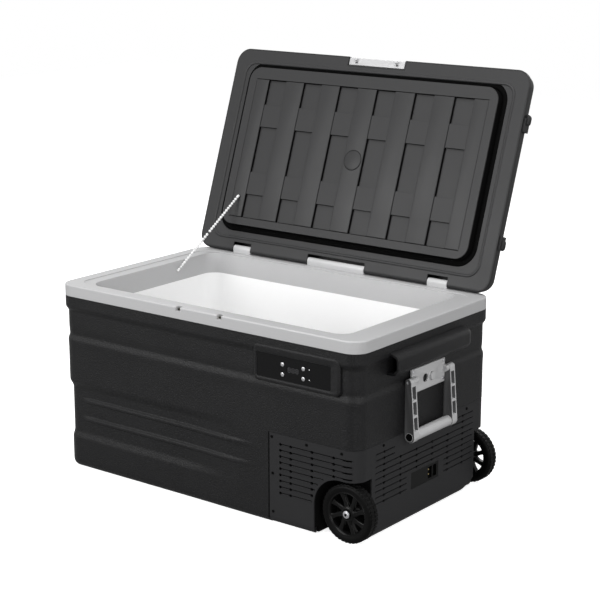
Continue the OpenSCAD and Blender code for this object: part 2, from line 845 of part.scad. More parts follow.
// Spoked rim about the Y axis, its outer face at y = 0
module wheel_hub() {
  rim_out = wheel_r * 0.75;
  rim_in = rim_out - 7;
  color([0.06, 0.06, 0.06]) difference() {
    union() {
      difference() {
        rod_y(2, wheel_w - 2, 0, 0, rim_out);
        rod_y(1, wheel_w - 1, 0, 0, rim_in);
      }
      rod_y(3.5, wheel_w - 1, 0, 0, hub_r);
      for (k = [0:spoke_n - 1]) rotate([0, k * 360 / spoke_n, 0])
        block(-spoke_w / 2, spoke_w / 2, 5, 17, hub_r - 4, rim_in + 2);
    }
    rod_y(-1, wheel_w + 1, 0, 0, axle_r + run_gap);
  }
}

module wheel_tyre() {
  rim_out = wheel_r * 0.75;
  color([0.05, 0.05, 0.05]) rotate([-90, 0, 0]) rotate_extrude() difference() {
    union() {
      translate([rim_out - 4, tyre_edge_r]) square([wheel_r - rim_out + 4, wheel_w - 2 * tyre_edge_r]);
      translate([rim_out - 4, 0]) square([wheel_r - rim_out + 4 - tyre_edge_r, wheel_w]);
      for (y = [tyre_edge_r, wheel_w - tyre_edge_r]) translate([wheel_r - tyre_edge_r, y]) circle(tyre_edge_r);
    }
    translate([0, 1]) square([rim_out, wheel_w - 2]);
    square([rim_out - 3, wheel_w]);
  }
}

module front_wheel_hub() translate([axle_x, -wheel_out, axle_z]) wheel_hub();

module front_wheel_tyre() translate([axle_x, -wheel_out, axle_z]) wheel_tyre();

module rear_wheel_hub() mirror([0, 1, 0]) front_wheel_hub();

module rear_wheel_tyre() mirror([0, 1, 0]) front_wheel_tyre();

// ---------- handles ----------

module handle_bracket() {
  color([0.75, 0.75, 0.75]) difference() {
    union() {
      block(wall_x, wall_x + plate_t, -plate_y, plate_y, plate_z0, plate_z1);
      both_sides() {
        rod_y(plate_y - lug_w, arm_y0 - seat_gap, pivot_x, pivot_z, lug_r);
        block(wall_x, pivot_x, plate_y - lug_w, plate_y, pivot_z - lug_r, pivot_z + lug_r);
      }
      rod_x(wall_x, wall_x + plate_t + 5, boss_y, boss_z, boss_r);
    }
    rod_x(wall_x - 1, wall_x + plate_t + 1, boss_y - 22, boss_z, boss_r);
    both_sides() rod_y(-plate_y - 20, -(plate_y - lug_w - 1), pivot_x, pivot_z, pivot_r);
    handle_screw_shanks(1);
  }
}

module handle_screws() {
  color([0.6, 0.6, 0.6]) {
    handle_screw_shanks(1);
    for (p = HANDLE_SCREWS) rod_x(wall_x + plate_t, wall_x + plate_t + 1.8, p[0], p[1], handle_screw_head);
  }
}

module handle_pin() {
  color([0.7, 0.7, 0.72]) both_sides()
    rod_y(-arm_y1 + 2, -(plate_y - lug_w + 1), pivot_x, pivot_z, pivot_r);
}

// Channel-shaped arms: three pockets open outwards, between two cross webs
module handle_arms() {
  span = pivot_z - grip_z - arm_end_r - arm_top_r - 2;
  pocket = (span - 2 * web_t) / 3;
  color([0.72, 0.72, 0.72]) both_sides() difference() {
    along_y(-arm_y1, -arm_y0) {
      polygon([[pivot_x - arm_top_r, pivot_z], [pivot_x + arm_top_r, pivot_z],
        [grip_x + arm_end_r, grip_z], [grip_x - arm_end_r, grip_z]]);
      translate([pivot_x, pivot_z]) circle(arm_top_r);
      translate([grip_x, grip_z]) circle(arm_end_r);
    }
    for (k = [0:2]) {
      z = grip_z + arm_end_r + 1 + k * (pocket + web_t);
      block(grip_x - arm_end_r + 5, wall_x + 60, -arm_y1 + arm_wall, -arm_y0 - arm_wall, z, z + pocket);
    }
    rod_y(-arm_y1 - 1, -arm_y0 + 1, pivot_x, pivot_z, pivot_r + run_gap);
    rod_y(-arm_y1 - 1, -arm_y0 + 1, grip_x, grip_z, grip_r - 2);
  }
}

module handle_grip() {
  color([0.78, 0.78, 0.78]) difference() {
    union() {
      rod_y(-arm_y0, arm_y0, grip_x, grip_z, grip_r);
      rod_y(-arm_y1, arm_y1, grip_x, grip_z, grip_r - 2);
    }
    rod_y(-arm_y1 - 1, arm_y1 + 1, grip_x, grip_z, grip_r - 4.5);
  }
}

module right_handle_bracket() handle_bracket();

module right_handle_screws() handle_screws();

module right_handle_pin() handle_pin();

module right_handle_arms() handle_arms();

module right_handle_grip() handle_grip();

module left_handle_bracket() mirror([1, 0, 0]) handle_bracket();

module left_handle_screws() mirror([1, 0, 0]) handle_screws();

module left_handle_pin() mirror([1, 0, 0]) handle_pin();

module left_handle_arms() mirror([1, 0, 0]) handle_arms();

module left_handle_grip() mirror([1, 0, 0]) handle_grip();

// ---------- hinge ----------

module hinge_knuckles() {
  color([0.74, 0.74, 0.74]) for (k = KNUCKLES) difference() {
    union() {
      block(k[0] - k[1], k[0] + k[1], hinge_y - 8, hinge_y + 8, body_h, hinge_z);
      rod_x(k[0] - k[1], k[0] + k[1], hinge_y, hinge_z, 8);
    }
    rod_x(k[0] - k[1] - 1, k[0] + k[1] + 1, hinge_y, hinge_z, hinge_pin_r);
  }
}

module hinge_pins() {
  color([0.6, 0.6, 0.62]) for (k = KNUCKLES)
    rod_x(k[0] - k[1] - hinge_ear_w, k[0] + k[1] + hinge_ear_w, hinge_y, hinge_z, hinge_pin_r);
}

// Room for the knuckles at every angle of the lid
module hinge_cut() {
  for (k = KNUCKLES)
    block(k[0] - k[1] - 1, k[0] + k[1] + 1, hinge_y - hinge_clear_r, body_dep, body_h - 9,
      hinge_z + hinge_clear_r);
}

// Rounds the lid's rear lower edge about the hinge
module hinge_edge_cut() {
  difference() {
    block(-body_len, body_len, hinge_y, body_dep, lid_z - 5, hinge_z);
    rod_x(-body_len - 1, body_len + 1, hinge_y, hinge_z, hinge_r);
  }
}

module hinge_ears(r) {
  for (k = KNUCKLES, side = [-1, 1]) {
    x = k[0] + side * (k[1] + 1 + hinge_ear_w / 2);
    rod_x(x - hinge_ear_w / 2, x + hinge_ear_w / 2, hinge_y, hinge_z, r);
  }
}

// ---------- lid, drawn shut ----------

module lid_section() {
  polygon(concat(
    [[0, lid_z], [0, lid_z + lid_lip], [-lid_in + 1, lid_z + lid_lip + 3]],
    arc(-lid_in - lid_edge_r, lid_top - lid_edge_r, lid_edge_r, 0, 90, 6),
    arc(-lid_in - lid_edge_r, lid_top - lid_edge_r, lid_edge_r - lid_t, 90, 0, 6),
    [[-lid_in - lid_t + 1, lid_z + lid_lip + 3], [-lid_t, lid_z + lid_lip - 1], [-lid_t, lid_z]]));
}

module latch_notch(g) {
  block(-latch_w / 2 - 1.5 - g, latch_w / 2 + 1.5 + g, g > 0 ? latch_y0 + 1 : -body_dep, latch_y1 + 1.5 + g,
    lid_z - (g > 0 ? 0 : 1), latch_pivot_z + latch_r + 1 + g);
}

module lid_lugs() {
  for (side = [-1, 1], y = [-125, 128])
    block(side > 0 ? lid_len / 2 - 6 : -lid_len / 2 - 4, side > 0 ? lid_len / 2 + 4 : -lid_len / 2 + 6,
      y - 14.5, y + 14.5, lid_z + 5, lid_z + 24);
}

module lid_outer_shut() {
  lid_w = lid_len - 2 * (lid_in + lid_edge_r);
  lid_d = lid_dep - 2 * (lid_in + lid_edge_r);
  difference() {
    union() {
      ring(lid_len, lid_dep, lid_r) lid_section();
      translate([0, 0, lid_top - lid_t]) linear_extrude(lid_t)
        rrect(lid_w, lid_d, lid_r - lid_in - lid_edge_r);
      latch_notch(lid_t);
      lid_lugs();
    }
    latch_notch(0);
    hinge_cut();
    hinge_edge_cut();
    hinge_ears(hinge_ear_r);
    rod_x(-latch_w, latch_w, latch_pivot_y, latch_pivot_z, latch_pin_r);
  }
}

module plug_block(g, z0, z1) rblock(-plug_x + g, plug_x - g, plug_y0 + g, plug_y1 - g, plug_r - g, z0, z1);

// Recesses between the crossing strips of the plug's face
module weave_cut() {
  span = panel_y1 - panel_y0;
  x0 = -(weave_n - 1) / 2 * weave_pitch;
  for (c = [0:weave_n - 1], r = WEAVE_ROWS)
    block(x0 + c * weave_pitch - weave_w / 2, x0 + c * weave_pitch + weave_w / 2,
      panel_y1 - span * r[1], panel_y1 - span * r[0], lid_z - plug_h - 1, lid_z - plug_h + weave_depth);
  rblock(-panel_x, panel_x, panel_y0, panel_y1, 4, lid_z - plug_h - 1, lid_z - plug_h + panel_depth);
}

module lid_inner_shut() {
  difference() {
    union() {
      rblock(-lid_len / 2 + lid_t, lid_len / 2 - lid_t, -lid_dep / 2 + lid_t, lid_dep / 2 - lid_t,
        lid_r - lid_t, lid_z, lid_z + 3);
      plug_block(-groove_w - lid_t, lid_z, lid_z + groove_h + lid_t);
      plug_block(0, lid_z - plug_h, lid_z + 1);
      hinge_ears(hinge_ear_r);
    }
    difference() {
      plug_block(-groove_w, lid_z - 1, lid_z + groove_h);
      plug_block(0, lid_z - 2, lid_z + groove_h + 1);
    }
    plug_block(9, lid_z - plug_h + 9, lid_z + groove_h + lid_t + 1);
    weave_cut();
    gasket_ring(gasket_seat + 1);
    latch_notch(lid_t);
    hinge_cut();
    hinge_edge_cut();
    hinge_ears(hinge_pin_r + run_gap);
    translate([0, (panel_y0 + panel_y1) / 2, lid_z - plug_h - 1]) cylinder(h = 20, r = cap_r - 6);
  }
}

module gasket_ring(depth) {
  difference() {
    rblock(-gasket_x - gasket_w / 2, gasket_x + gasket_w / 2, -gasket_y - gasket_w / 2,
      gasket_y + gasket_w / 2, gasket_r + gasket_w / 2, body_h - step_h + seat_gap, lid_z + depth - 1);
    rblock(-gasket_x + gasket_w / 2, gasket_x - gasket_w / 2, -gasket_y + gasket_w / 2,
      gasket_y - gasket_w / 2, gasket_r - gasket_w / 2, body_h - step_h, lid_z + depth);
  }
}

module lid_foam_shut() {
  // Insets of the foam's steps inside the lid's rounded edge, with the height where each one ends
  in = lid_in + lid_t + 1;
  levels = [lid_z + groove_h + lid_t, lid_top - lid_edge_r, lid_top - lid_edge_r / 2, lid_top - lid_t];
  insets = [in, in + 4, in + 13];
  back = hinge_y - hinge_clear_r - lid_t + in / 2;
  difference() {
    union() {
      for (i = [0:2])
        rblock(-lid_len / 2 + insets[i], lid_len / 2 - insets[i], -lid_dep / 2 + insets[i],
          back - insets[i] / 2, lid_r - insets[i], levels[i], levels[i + 1]);
      plug_block(9, lid_z - plug_h + 9, lid_z + groove_h + lid_t);
    }
    latch_notch(lid_t);
  }
}

module foam_cap_shut() {
  translate([0, (panel_y0 + panel_y1) / 2, 0]) {
    translate([0, 0, lid_z - plug_h - 1.5]) cylinder(h = 2.5, r = cap_r);
    translate([0, 0, lid_z - plug_h]) cylinder(h = 9, r = cap_r - 6);
  }
}

module lid_outer() color([0.2, 0.2, 0.205]) turned_open() lid_outer_shut();

module lid_inner() color([0.3, 0.3, 0.305]) turned_open() lid_inner_shut();

module lid_foam() color([0.93, 0.88, 0.66]) turned_open() lid_foam_shut();

module lid_gasket() color([0.12, 0.12, 0.12]) turned_open() gasket_ring(gasket_seat + 1);

module foam_cap() color([0.28, 0.28, 0.285]) turned_open() foam_cap_shut();

// ---------- latch ----------

module latch_bar() {
  color([0.74, 0.74, 0.74]) turned_open() difference() {
    union() {
      block(-latch_w / 2, latch_w / 2, latch_y0, latch_y1, lid_z + latch_gap, latch_pivot_z);
      rod_x(-latch_w / 2, latch_w / 2, latch_pivot_y, latch_pivot_z, latch_r);
      for (x = [-hook_x, hook_x])
        block(x - hook_w / 2, x + hook_w / 2, latch_y0 + 2, latch_y0 + 6, lid_z - hook_h, latch_pivot_z);
    }
    rod_x(-latch_w, latch_w, latch_pivot_y, latch_pivot_z, latch_pin_r + run_gap);
    for (x = [-hook_x, hook_x])
      block(x - 4, x + 4, latch_y0 + 8, latch_y0 + 12, lid_z - 1, lid_z + 8);
  }
}

module latch_pin() {
  color([0.6, 0.6, 0.62]) turned_open()
    rod_x(-latch_w / 2 - 4.5, latch_w / 2 + 4.5, latch_pivot_y, latch_pivot_z, latch_pin_r);
}

// ---------- stay chain ----------

module bead_run(a, b) {
  d = b - a;
  half = norm(d) / 2;
  reach = half - 1.5 * bead_pitch;
  count = floor(reach / bead_pitch);
  pitch = reach / count;
  translate(a) rotate([0, acos(d[2] / norm(d)), atan2(d[1], d[0])]) {
    for (k = [0:count]) translate([0, 0, bead_pitch + k * pitch]) sphere(bead_r);
    translate([0, 0, bead_pitch]) cylinder(h = reach, r = 0.9);
  }
}

module chain_anchor_rim() {
  color([0.8, 0.8, 0.8]) {
    translate(CHAIN_A) sphere(anchor_r);
    rod_x(-open_w / 2, CHAIN_A[0], CHAIN_A[1], CHAIN_A[2], 1.5);
  }
}

module chain_lower() color([0.92, 0.92, 0.92]) bead_run(CHAIN_A, turn_open(CHAIN_B));

module chain_upper() color([0.92, 0.92, 0.92]) bead_run(turn_open(CHAIN_B), CHAIN_A);

module chain_anchor_lid() {
  color([0.8, 0.8, 0.8]) turned_open() {
    translate(CHAIN_B) sphere(anchor_r);
    translate(CHAIN_B) cylinder(h = lid_z - plug_h + panel_depth - CHAIN_B[2], r = 1.5);
  }
}

outer_shell();
rim_frame();
inner_liner();
insulation_foam();
evaporator();
base_chassis();
wheel_wells();
vent_panel();
vent_panel_screws();
socket_panel();
dc_inlet();
strap_hood_right();
strap_hood_left();
control_window();
display_module();
led_indicators();
control_board();
power_button();
settings_button();
plus_button();
minus_button();
compressor();
compressor_grommets();
condenser();
fan_frame();
fan_rotor();
power_module();
filter_drier();
refrigerant_pipes();
axle();
axle_caps();
front_wheel_hub();
front_wheel_tyre();
rear_wheel_hub();
rear_wheel_tyre();
right_handle_bracket();
right_handle_screws();
right_handle_pin();
right_handle_arms();
right_handle_grip();
left_handle_bracket();
left_handle_screws();
left_handle_pin();
left_handle_arms();
left_handle_grip();
hinge_knuckles();
hinge_pins();
lid_outer();
lid_inner();
lid_foam();
lid_gasket();
foam_cap();
latch_bar();
latch_pin();
chain_anchor_rim();
chain_lower();
chain_upper();
chain_anchor_lid();
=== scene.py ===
# %% [markdown]
# # A wheeled compressor cooler fridge
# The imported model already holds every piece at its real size, with its joints. This lesson gives each
# piece its finish, and models again, with more care, the pieces whose shape the eye goes to first.
# The frame is in metres, and the places below are worked out from the frame's own boxes.

# %% Load the frame
import json
import math

import bmesh
import bpy
import numpy as np
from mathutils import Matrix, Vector


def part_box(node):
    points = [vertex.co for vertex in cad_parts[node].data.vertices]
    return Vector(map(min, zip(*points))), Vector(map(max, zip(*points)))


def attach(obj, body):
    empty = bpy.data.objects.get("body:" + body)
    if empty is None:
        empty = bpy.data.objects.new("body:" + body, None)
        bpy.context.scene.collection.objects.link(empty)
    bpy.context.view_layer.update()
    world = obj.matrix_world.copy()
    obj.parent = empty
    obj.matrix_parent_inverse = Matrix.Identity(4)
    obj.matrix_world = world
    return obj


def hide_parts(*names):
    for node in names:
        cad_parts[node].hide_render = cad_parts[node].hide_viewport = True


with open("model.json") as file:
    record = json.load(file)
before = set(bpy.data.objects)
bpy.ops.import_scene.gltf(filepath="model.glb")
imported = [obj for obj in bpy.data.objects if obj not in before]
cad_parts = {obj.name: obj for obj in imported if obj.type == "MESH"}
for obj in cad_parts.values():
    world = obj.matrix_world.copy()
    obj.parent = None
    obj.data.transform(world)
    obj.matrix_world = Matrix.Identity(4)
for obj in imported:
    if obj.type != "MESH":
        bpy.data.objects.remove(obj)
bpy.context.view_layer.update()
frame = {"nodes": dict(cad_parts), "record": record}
MM = 0.001
rim_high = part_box("rim_frame")[1]
HALF_L = rim_high.x
HALF_D = rim_high.y
RIM_TOP = rim_high.z
CORNER = 35 * MM
print("nodes:", len(frame["nodes"]), "half length", round(HALF_L, 4), "half depth", round(HALF_D, 4))

# %% [markdown]
# ## Camera
# A long lens from some way off keeps the upright edges nearly parallel, which is how such a product is
# usually shown. The camera stands to the front right and above the rim, so that it looks into the liner.

# %% Camera
scene = bpy.context.scene
scene.view_settings.view_transform = "Standard"
camera_data = bpy.data.cameras.new("camera")
camera_data.lens = 100.9
camera_data.sensor_width = 36
camera = bpy.data.objects.new("camera", camera_data)
scene.collection.objects.link(camera)
camera.location = (2.1738, -2.7138, 1.2651)
camera_target = Vector((0.1284, -0.0697, 0.4222))
camera.rotation_euler = (camera_target - camera.location).to_track_quat("-Z", "Y").to_euler()
scene.camera = camera
print("camera distance:", round((camera_target - camera.location).length, 3))


# %% [markdown]
# ## Finishes as sums
# A finish is a small graph of nodes. Written node by node it takes pages, so a `Wire` wraps one socket
# and lets it be added, subtracted and multiplied like a number. `Graph.node` makes any other node: its
# settings come first, because some of them change which sockets exist.

# %% A wire that can be used in sums
class Wire:
    def __init__(self, graph, socket):
        self.graph = graph
        self.socket = socket

    def maths(self, operation, *values):
        return self.graph.node("ShaderNodeMath", {"operation": operation}, dict(enumerate(values)))

    def __add__(self, other):
        return self.maths("ADD", self, other)

    def __radd__(self, other):
        return self.maths("ADD", other, self)

    def __sub__(self, other):
        return self.maths("SUBTRACT", self, other)

    def __rsub__(self, other):
        return self.maths("SUBTRACT", other, self)

    def __mul__(self, other):
        return self.maths("MULTIPLY", self, other)

    def __rmul__(self, other):
        return self.maths("MULTIPLY", other, self)

    def either(self, other):
        return self.maths("MAXIMUM", self, other)


print("wires ready")


# %% A graph of nodes
class Graph:
    def __init__(self, tree):
        self.tree = tree

    def node(self, kind, settings, inputs, output=0):
        made = self.tree.nodes.new(kind)
        for key, value in settings.items():
            setattr(made, key, value)
        for key, value in inputs.items():
            if isinstance(value, Wire):
                self.tree.links.new(value.socket, made.inputs[key])
            else:
                made.inputs[key].default_value = value
        return Wire(self, made.outputs[output])

    def ray(self, kind):
        return self.node("ShaderNodeLightPath", {}, {}, f"Is {kind} Ray")

    def finish_with(self, end, wire):
        self.tree.links.new(wire.socket, self.tree.nodes[end].inputs["Surface"])


print("graphs ready")


# %% A finish
class Finish(Graph):
    def __init__(self, name, colour, roughness, **fixed):
        self.material = bpy.data.materials.new(name)
        self.material.use_nodes = True
        super().__init__(self.material.node_tree)
        self.shader = self.tree.nodes["Principled BSDF"]
        self.shader.inputs["Base Color"].default_value = (*colour, 1)
        self.shader.inputs["Roughness"].default_value = roughness
        for socket, value in fixed.items():
            self.shader.inputs[socket.replace("_", " ")].default_value = value
        self.place = self.node("ShaderNodeTexCoord", {}, {}, "Object")

    def noise(self, scale, detail=2.0, rough=0.5):
        return self.node("ShaderNodeTexNoise", {},
                         {"Vector": self.place, "Scale": scale, "Detail": detail, "Roughness": rough})

    def mix(self, factor, a, b):
        inputs = {0: factor, 6: a, 7: b}
        return self.node("ShaderNodeMix", {"data_type": "RGBA"}, inputs, 2)

    def bump(self, height, depth, edge=0.0):
        inputs = {"Height": height, "Distance": depth, "Strength": 1.0}
        if edge:
            inputs["Normal"] = self.node("ShaderNodeBevel", {"samples": 4}, {"Radius": edge})
        return self.node("ShaderNodeBump", {}, inputs)

    def drive(self, socket, wire):
        self.tree.links.new(wire.socket, self.shader.inputs[socket])


print("finishes ready")


# %% [markdown]
# ## Moulded plastic
# Most of this object is moulded plastic. What tells one moulding from another is the grain cut into its
# mould: a coarse leathery grain on the tub, a fine even one on the vent panel, and nearly none on the
# rim. So one function makes them all, from the grain's size and depth. Colour and roughness drift a
# little over a hand's width, as they do on a real part that was handled.

# %% Plastics
def moulded(name, colour, roughness, grain, depth, drift=0.12, edge=0.0, contrast=1.0, **fixed):
    """A plastic with so many grains to the metre, cut so deep; drift is how far its colour wanders."""
    finish = Finish(name, colour, roughness, **fixed)
    coarse = finish.noise(grain, 3.0, 0.6)
    cloud = finish.noise(9.0, 2.0)
    darker = [c * (1 - drift) for c in colour] + [1]
    lighter = [min(1.0, c * (1 + drift)) for c in colour] + [1]
    speckle = (coarse - 0.5) * contrast + 0.5
    finish.drive("Base Color", finish.mix(speckle * 0.6 + cloud * 0.4, darker, lighter))
    finish.drive("Roughness", (cloud - 0.5) * 0.16 + (coarse - 0.5) * 0.1 + roughness)
    finish.drive("Normal", finish.bump(coarse, depth, edge))
    return finish.material


SHELL = moulded("shell_plastic", (0.009, 0.009, 0.0095), 0.38, 330, 1.1 * MM, 0.4, contrast=3.4,
                Specular_IOR_Level=0.16)
PANEL = moulded("panel_plastic", (0.024, 0.024, 0.025), 0.5, 900, 0.12 * MM, 0.08, 0.5 * MM,
                Specular_IOR_Level=0.1)
RIM = moulded("rim_plastic", (0.46, 0.46, 0.465), 0.42, 1100, 0.05 * MM, 0.02, 1.0 * MM)
GREY = moulded("fitting_plastic", (0.5, 0.5, 0.505), 0.38, 1200, 0.05 * MM, 0.03, 0.6 * MM)
LINER = moulded("liner_plastic", (0.95, 0.95, 0.95), 0.34, 700, 0.04 * MM, 0.01)
LID_BLACK = moulded("lid_plastic", (0.014, 0.014, 0.0145), 0.48, 420, 0.4 * MM, 0.2, 0.8 * MM,
                    Specular_IOR_Level=0.24)
LID_GREY = moulded("lid_panel_plastic", (0.0245, 0.0245, 0.0252), 0.44, 800, 0.08 * MM, 0.06, 0.6 * MM,
                   Specular_IOR_Level=0.24)
# The wheel wells are black plastic, painted darker still as the shade inside the arches
WELL = moulded("well_plastic_and_shade", (0.005, 0.005, 0.005), 0.7, 600, 0.2 * MM, 0.2, Specular_IOR_Level=0.05)
SOCKET = moulded("socket_plastic", (0.004, 0.004, 0.004), 0.35, 1200, 0.04 * MM, 0.1, 0.4 * MM,
                 Specular_IOR_Level=0.1)
FAN = moulded("fan_plastic", (0.02, 0.02, 0.02), 0.45, 900, 0.05 * MM)
FOAM = moulded("cast_foam", (0.78, 0.66, 0.36), 0.9, 250, 0.8 * MM, 0.12)


FLANK = 0.75


def two_tone(name, face, flank, roughness):
    """A moulding whose flanks, which face along the Y axis, are of a darker plastic."""
    finish = Finish(name, face, roughness)
    grain = finish.noise(900, 3.0)
    facing = finish.node("ShaderNodeTexCoord", {}, {}, "Normal")
    along_y = finish.node("ShaderNodeSeparateXYZ", {}, {0: facing}, 1)
    sideways = along_y.maths("ABSOLUTE", along_y)
    is_flank = sideways.maths("GREATER_THAN", sideways, FLANK)
    finish.drive("Base Color", finish.mix(is_flank, [*face, 1], [*flank, 1]))
    finish.drive("Roughness", (grain - 0.5) * 0.1 + roughness)
    finish.drive("Normal", finish.bump(grain, 0.05 * MM))
    return finish.material


ARM = two_tone("arm_plastic", (0.5, 0.5, 0.505), (0.1, 0.1, 0.102), 0.4)
print("plastics:", len(bpy.data.materials))

# %% [markdown]
# ## Rubber, gloss and metal
# Tyre rubber has a soft bloom, gloss black plastic shows the lamps almost as a mirror does, and metal
# gets its look from a streaky roughness more than from its colour.

# %% Rubber and gloss
RUBBER = moulded("tyre_rubber", (0.003, 0.003, 0.003), 0.42, 500, 0.12 * MM, 0.25, Specular_IOR_Level=0.06)
SEAL = moulded("seal_rubber", (0.006, 0.006, 0.006), 0.6, 800, 0.05 * MM)
# SHADE is painted shade: a near-black laid in gaps, recesses and walls where shadow falls
SHADE = moulded("shadow_gap", (0.002, 0.002, 0.002), 0.9, 900, 0.02 * MM, 0.1, Specular_IOR_Level=0.05)
HUB = moulded("hub_gloss", (0.004, 0.004, 0.004), 0.2, 600, 0.04 * MM, 0.1, 0.5 * MM, Specular_IOR_Level=0.12)
GLOSS = moulded("window_gloss", (0.003, 0.003, 0.0033), 0.12, 60, 0.01 * MM, 0.05, Specular_IOR_Level=0.16)
SEGMENT = moulded("segment_tint", (0.06, 0.06, 0.064), 0.3, 500, 0.01 * MM, 0.05)
BEAD = moulded("bead_white", (0.8, 0.8, 0.8), 0.22, 900, 0.01 * MM, 0.02)
BOARD = moulded("board_green", (0.015, 0.09, 0.03), 0.4, 700, 0.05 * MM, 0.3)
print("with rubber and gloss:", len(bpy.data.materials))


# %% Metals
def metal(name, colour, roughness, streak=(40, 40, 900), depth=0.02 * MM):
    finish = Finish(name, colour, roughness, Metallic=1.0)
    stretched = finish.node("ShaderNodeMapping", {}, {"Vector": finish.place, "Scale": streak})
    lines = finish.node("ShaderNodeTexNoise", {}, {"Vector": stretched, "Scale": 1.0, "Detail": 3.0})
    worn = [c * 0.75 for c in colour] + [1]
    finish.drive("Base Color", finish.mix(lines, worn, [*colour, 1]))
    finish.drive("Roughness", (lines - 0.5) * 0.3 + roughness)
    finish.drive("Normal", finish.bump(lines, depth, 0.3 * MM))
    return finish.material


STEEL = metal("zinc_steel", (0.62, 0.62, 0.64), 0.3)
ALUMINIUM = metal("mill_aluminium", (0.72, 0.73, 0.75), 0.35)
COPPER = metal("copper_tube", (0.78, 0.36, 0.2), 0.28)
BRASS = metal("contact_brass", (0.72, 0.56, 0.26), 0.3)
SILVER = metal("button_silver", (0.5, 0.5, 0.51), 0.34)
PAINT = moulded("compressor_paint", (0.012, 0.012, 0.012), 0.25, 200, 0.08 * MM, 0.1, Coat_Weight=0.4)
print("materials:", len(bpy.data.materials))

# %% [markdown]
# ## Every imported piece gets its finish
# The record names a material slot for each node, so one table from slot to finish dresses the whole
# frame, and no node is left plain.

# %% Dress the frame
FINISH_OF_SLOT = {
    "shell_black": SHELL, "panel_black": PANEL, "rim_grey": GREY, "grip_grey": GREY, "liner_white": LINER,
    "foam_cream": FOAM, "lid_black": LID_BLACK, "lid_grey": LID_GREY, "seal_black": SEAL,
    # The black screws wear SHADE, so their own black is painted darker still as shade
    "tyre_black": RUBBER, "hub_black": HUB, "steel": STEEL, "screw_black": SHADE,
    "window_black": GLOSS, "display_dark": GLOSS, "led_clear": BEAD, "button_silver": SILVER,
    "board_green": BOARD, "socket_black": SOCKET, "contact_brass": BRASS, "compressor_paint": PAINT,
    "chassis_steel": ALUMINIUM, "fan_black": FAN, "aluminium": ALUMINIUM, "copper": COPPER,
    "chain_white": BEAD}
SLOT_OF_NODE = {row["node"]: row["material_slot"] for row in frame["record"]["subparts"]}
BODY_OF_NODE = {n: b for b, ns in frame["record"]["behaviour"]["bodies"].items() for n in ns}
OWN_FINISH = {"rim_frame": RIM, "wheel_wells": WELL}


def wear(thing, finish):
    thing.data.materials.clear()
    thing.data.materials.append(finish)


for name, node in frame["nodes"].items():
    wear(node, OWN_FINISH.get(name, FINISH_OF_SLOT[SLOT_OF_NODE[name]]))
print("dressed", len(frame["nodes"]), "nodes")


# %% [markdown]
# ## Helpers for making pieces
# Each new piece is one mesh that rides on a body and stands for the node it replaces. `soften` copies
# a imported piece, joins its triangles into whole faces and rounds its sharp edges, which is what a real
# mould does to them.

# %% Piece helpers
def piece(name, vertices, faces, finish, body, replaced=(), smooth=40):
    mesh = bpy.data.meshes.new(name)
    mesh.from_pydata([tuple(v) for v in vertices], [], [tuple(f) for f in faces])
    mesh.validate()
    return adopt(name, mesh, finish, body, replaced, smooth)


def adopt(name, mesh, finish, body, replaced=(), smooth=40):
    made = bpy.data.objects.new(name, mesh)
    scene.collection.objects.link(made)
    wear(made, finish)
    mesh.shade_smooth()
    mesh.set_sharp_from_angle(angle=math.radians(smooth))
    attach(made, body)
    if replaced:
        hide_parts(*replaced)
    return made


print("piece helpers ready")


# %% Softened edges
def freeze(thing):
    graph = bpy.context.evaluated_depsgraph_get()
    done = bpy.data.meshes.new_from_object(thing.evaluated_get(graph))
    thing.modifiers.clear()
    thing.data = done
    return thing


def bevel(thing, width, segments=3, angle=35):
    rounding = thing.modifiers.new("rounding", "BEVEL")
    rounding.width = width
    rounding.segments = segments
    rounding.limit_method = "ANGLE"
    rounding.angle_limit = math.radians(angle)
    return freeze(thing)


def soften(node, width, segments=3, finish=None):
    source = frame["nodes"][node]
    bm = bmesh.new()
    bm.from_mesh(source.data)
    bmesh.ops.remove_doubles(bm, verts=bm.verts, dist=0.002 * MM)
    bmesh.ops.dissolve_limit(bm, angle_limit=math.radians(0.5), verts=bm.verts, edges=bm.edges)
    mesh = bpy.data.meshes.new(node + "_soft")
    bm.to_mesh(mesh)
    bm.free()
    made = adopt(node + "_soft", mesh, finish or source.data.materials[0], BODY_OF_NODE[node],
                 [node])
    bevel(made, width, segments)
    made.data.shade_smooth()
    made.data.set_sharp_from_angle(angle=math.radians(40))
    return made


print("softening ready")


# %% [markdown]
# ## Floor and light
# A product is easiest to judge in even light: one large soft lamp above, one from each side, and a tall
# strip that draws the upright corner. The pale surround is made white only for the rays that come from
# the camera, from a mirror or through glass, so it throws no extra light on the black plastic. The
# floor is white to the camera too, shows a fifth of that white to a mirror, and is dim to other rays.

# %% Floor
FLOOR = 6.0
MIRRORED_WHITE = 0.2
floor_finish = Finish("floor", (0.86, 0.86, 0.86), 0.8, Specular_IOR_Level=0.1)
dim = floor_finish.node("ShaderNodeBsdfDiffuse", {}, {"Color": (0.2, 0.2, 0.2, 1)})
glow = floor_finish.node("ShaderNodeEmission", {}, {"Color": (1, 1, 1, 1), "Strength": 0.8})
pale = Wire(floor_finish, floor_finish.shader.outputs[0])
glowing = floor_finish.node("ShaderNodeAddShader", {}, {0: pale, 1: glow})
seen_white = floor_finish.ray("Camera").either(floor_finish.ray("Glossy") * MIRRORED_WHITE)
floor_finish.finish_with("Material Output", floor_finish.node("ShaderNodeMixShader", {}, {
    0: seen_white, 1: dim, 2: glowing}))
floor_mesh = bpy.data.meshes.new("floor")
floor_corners = [(-FLOOR, -FLOOR, 0), (FLOOR, -FLOOR, 0), (FLOOR, FLOOR, 0), (-FLOOR, FLOOR, 0)]
floor_mesh.from_pydata(floor_corners, [], [(0, 1, 2, 3)])
floor = bpy.data.objects.new("floor", floor_mesh)
scene.collection.objects.link(floor)
floor.data.materials.append(floor_finish.material)
print("floor:", 2 * FLOOR, "m wide")


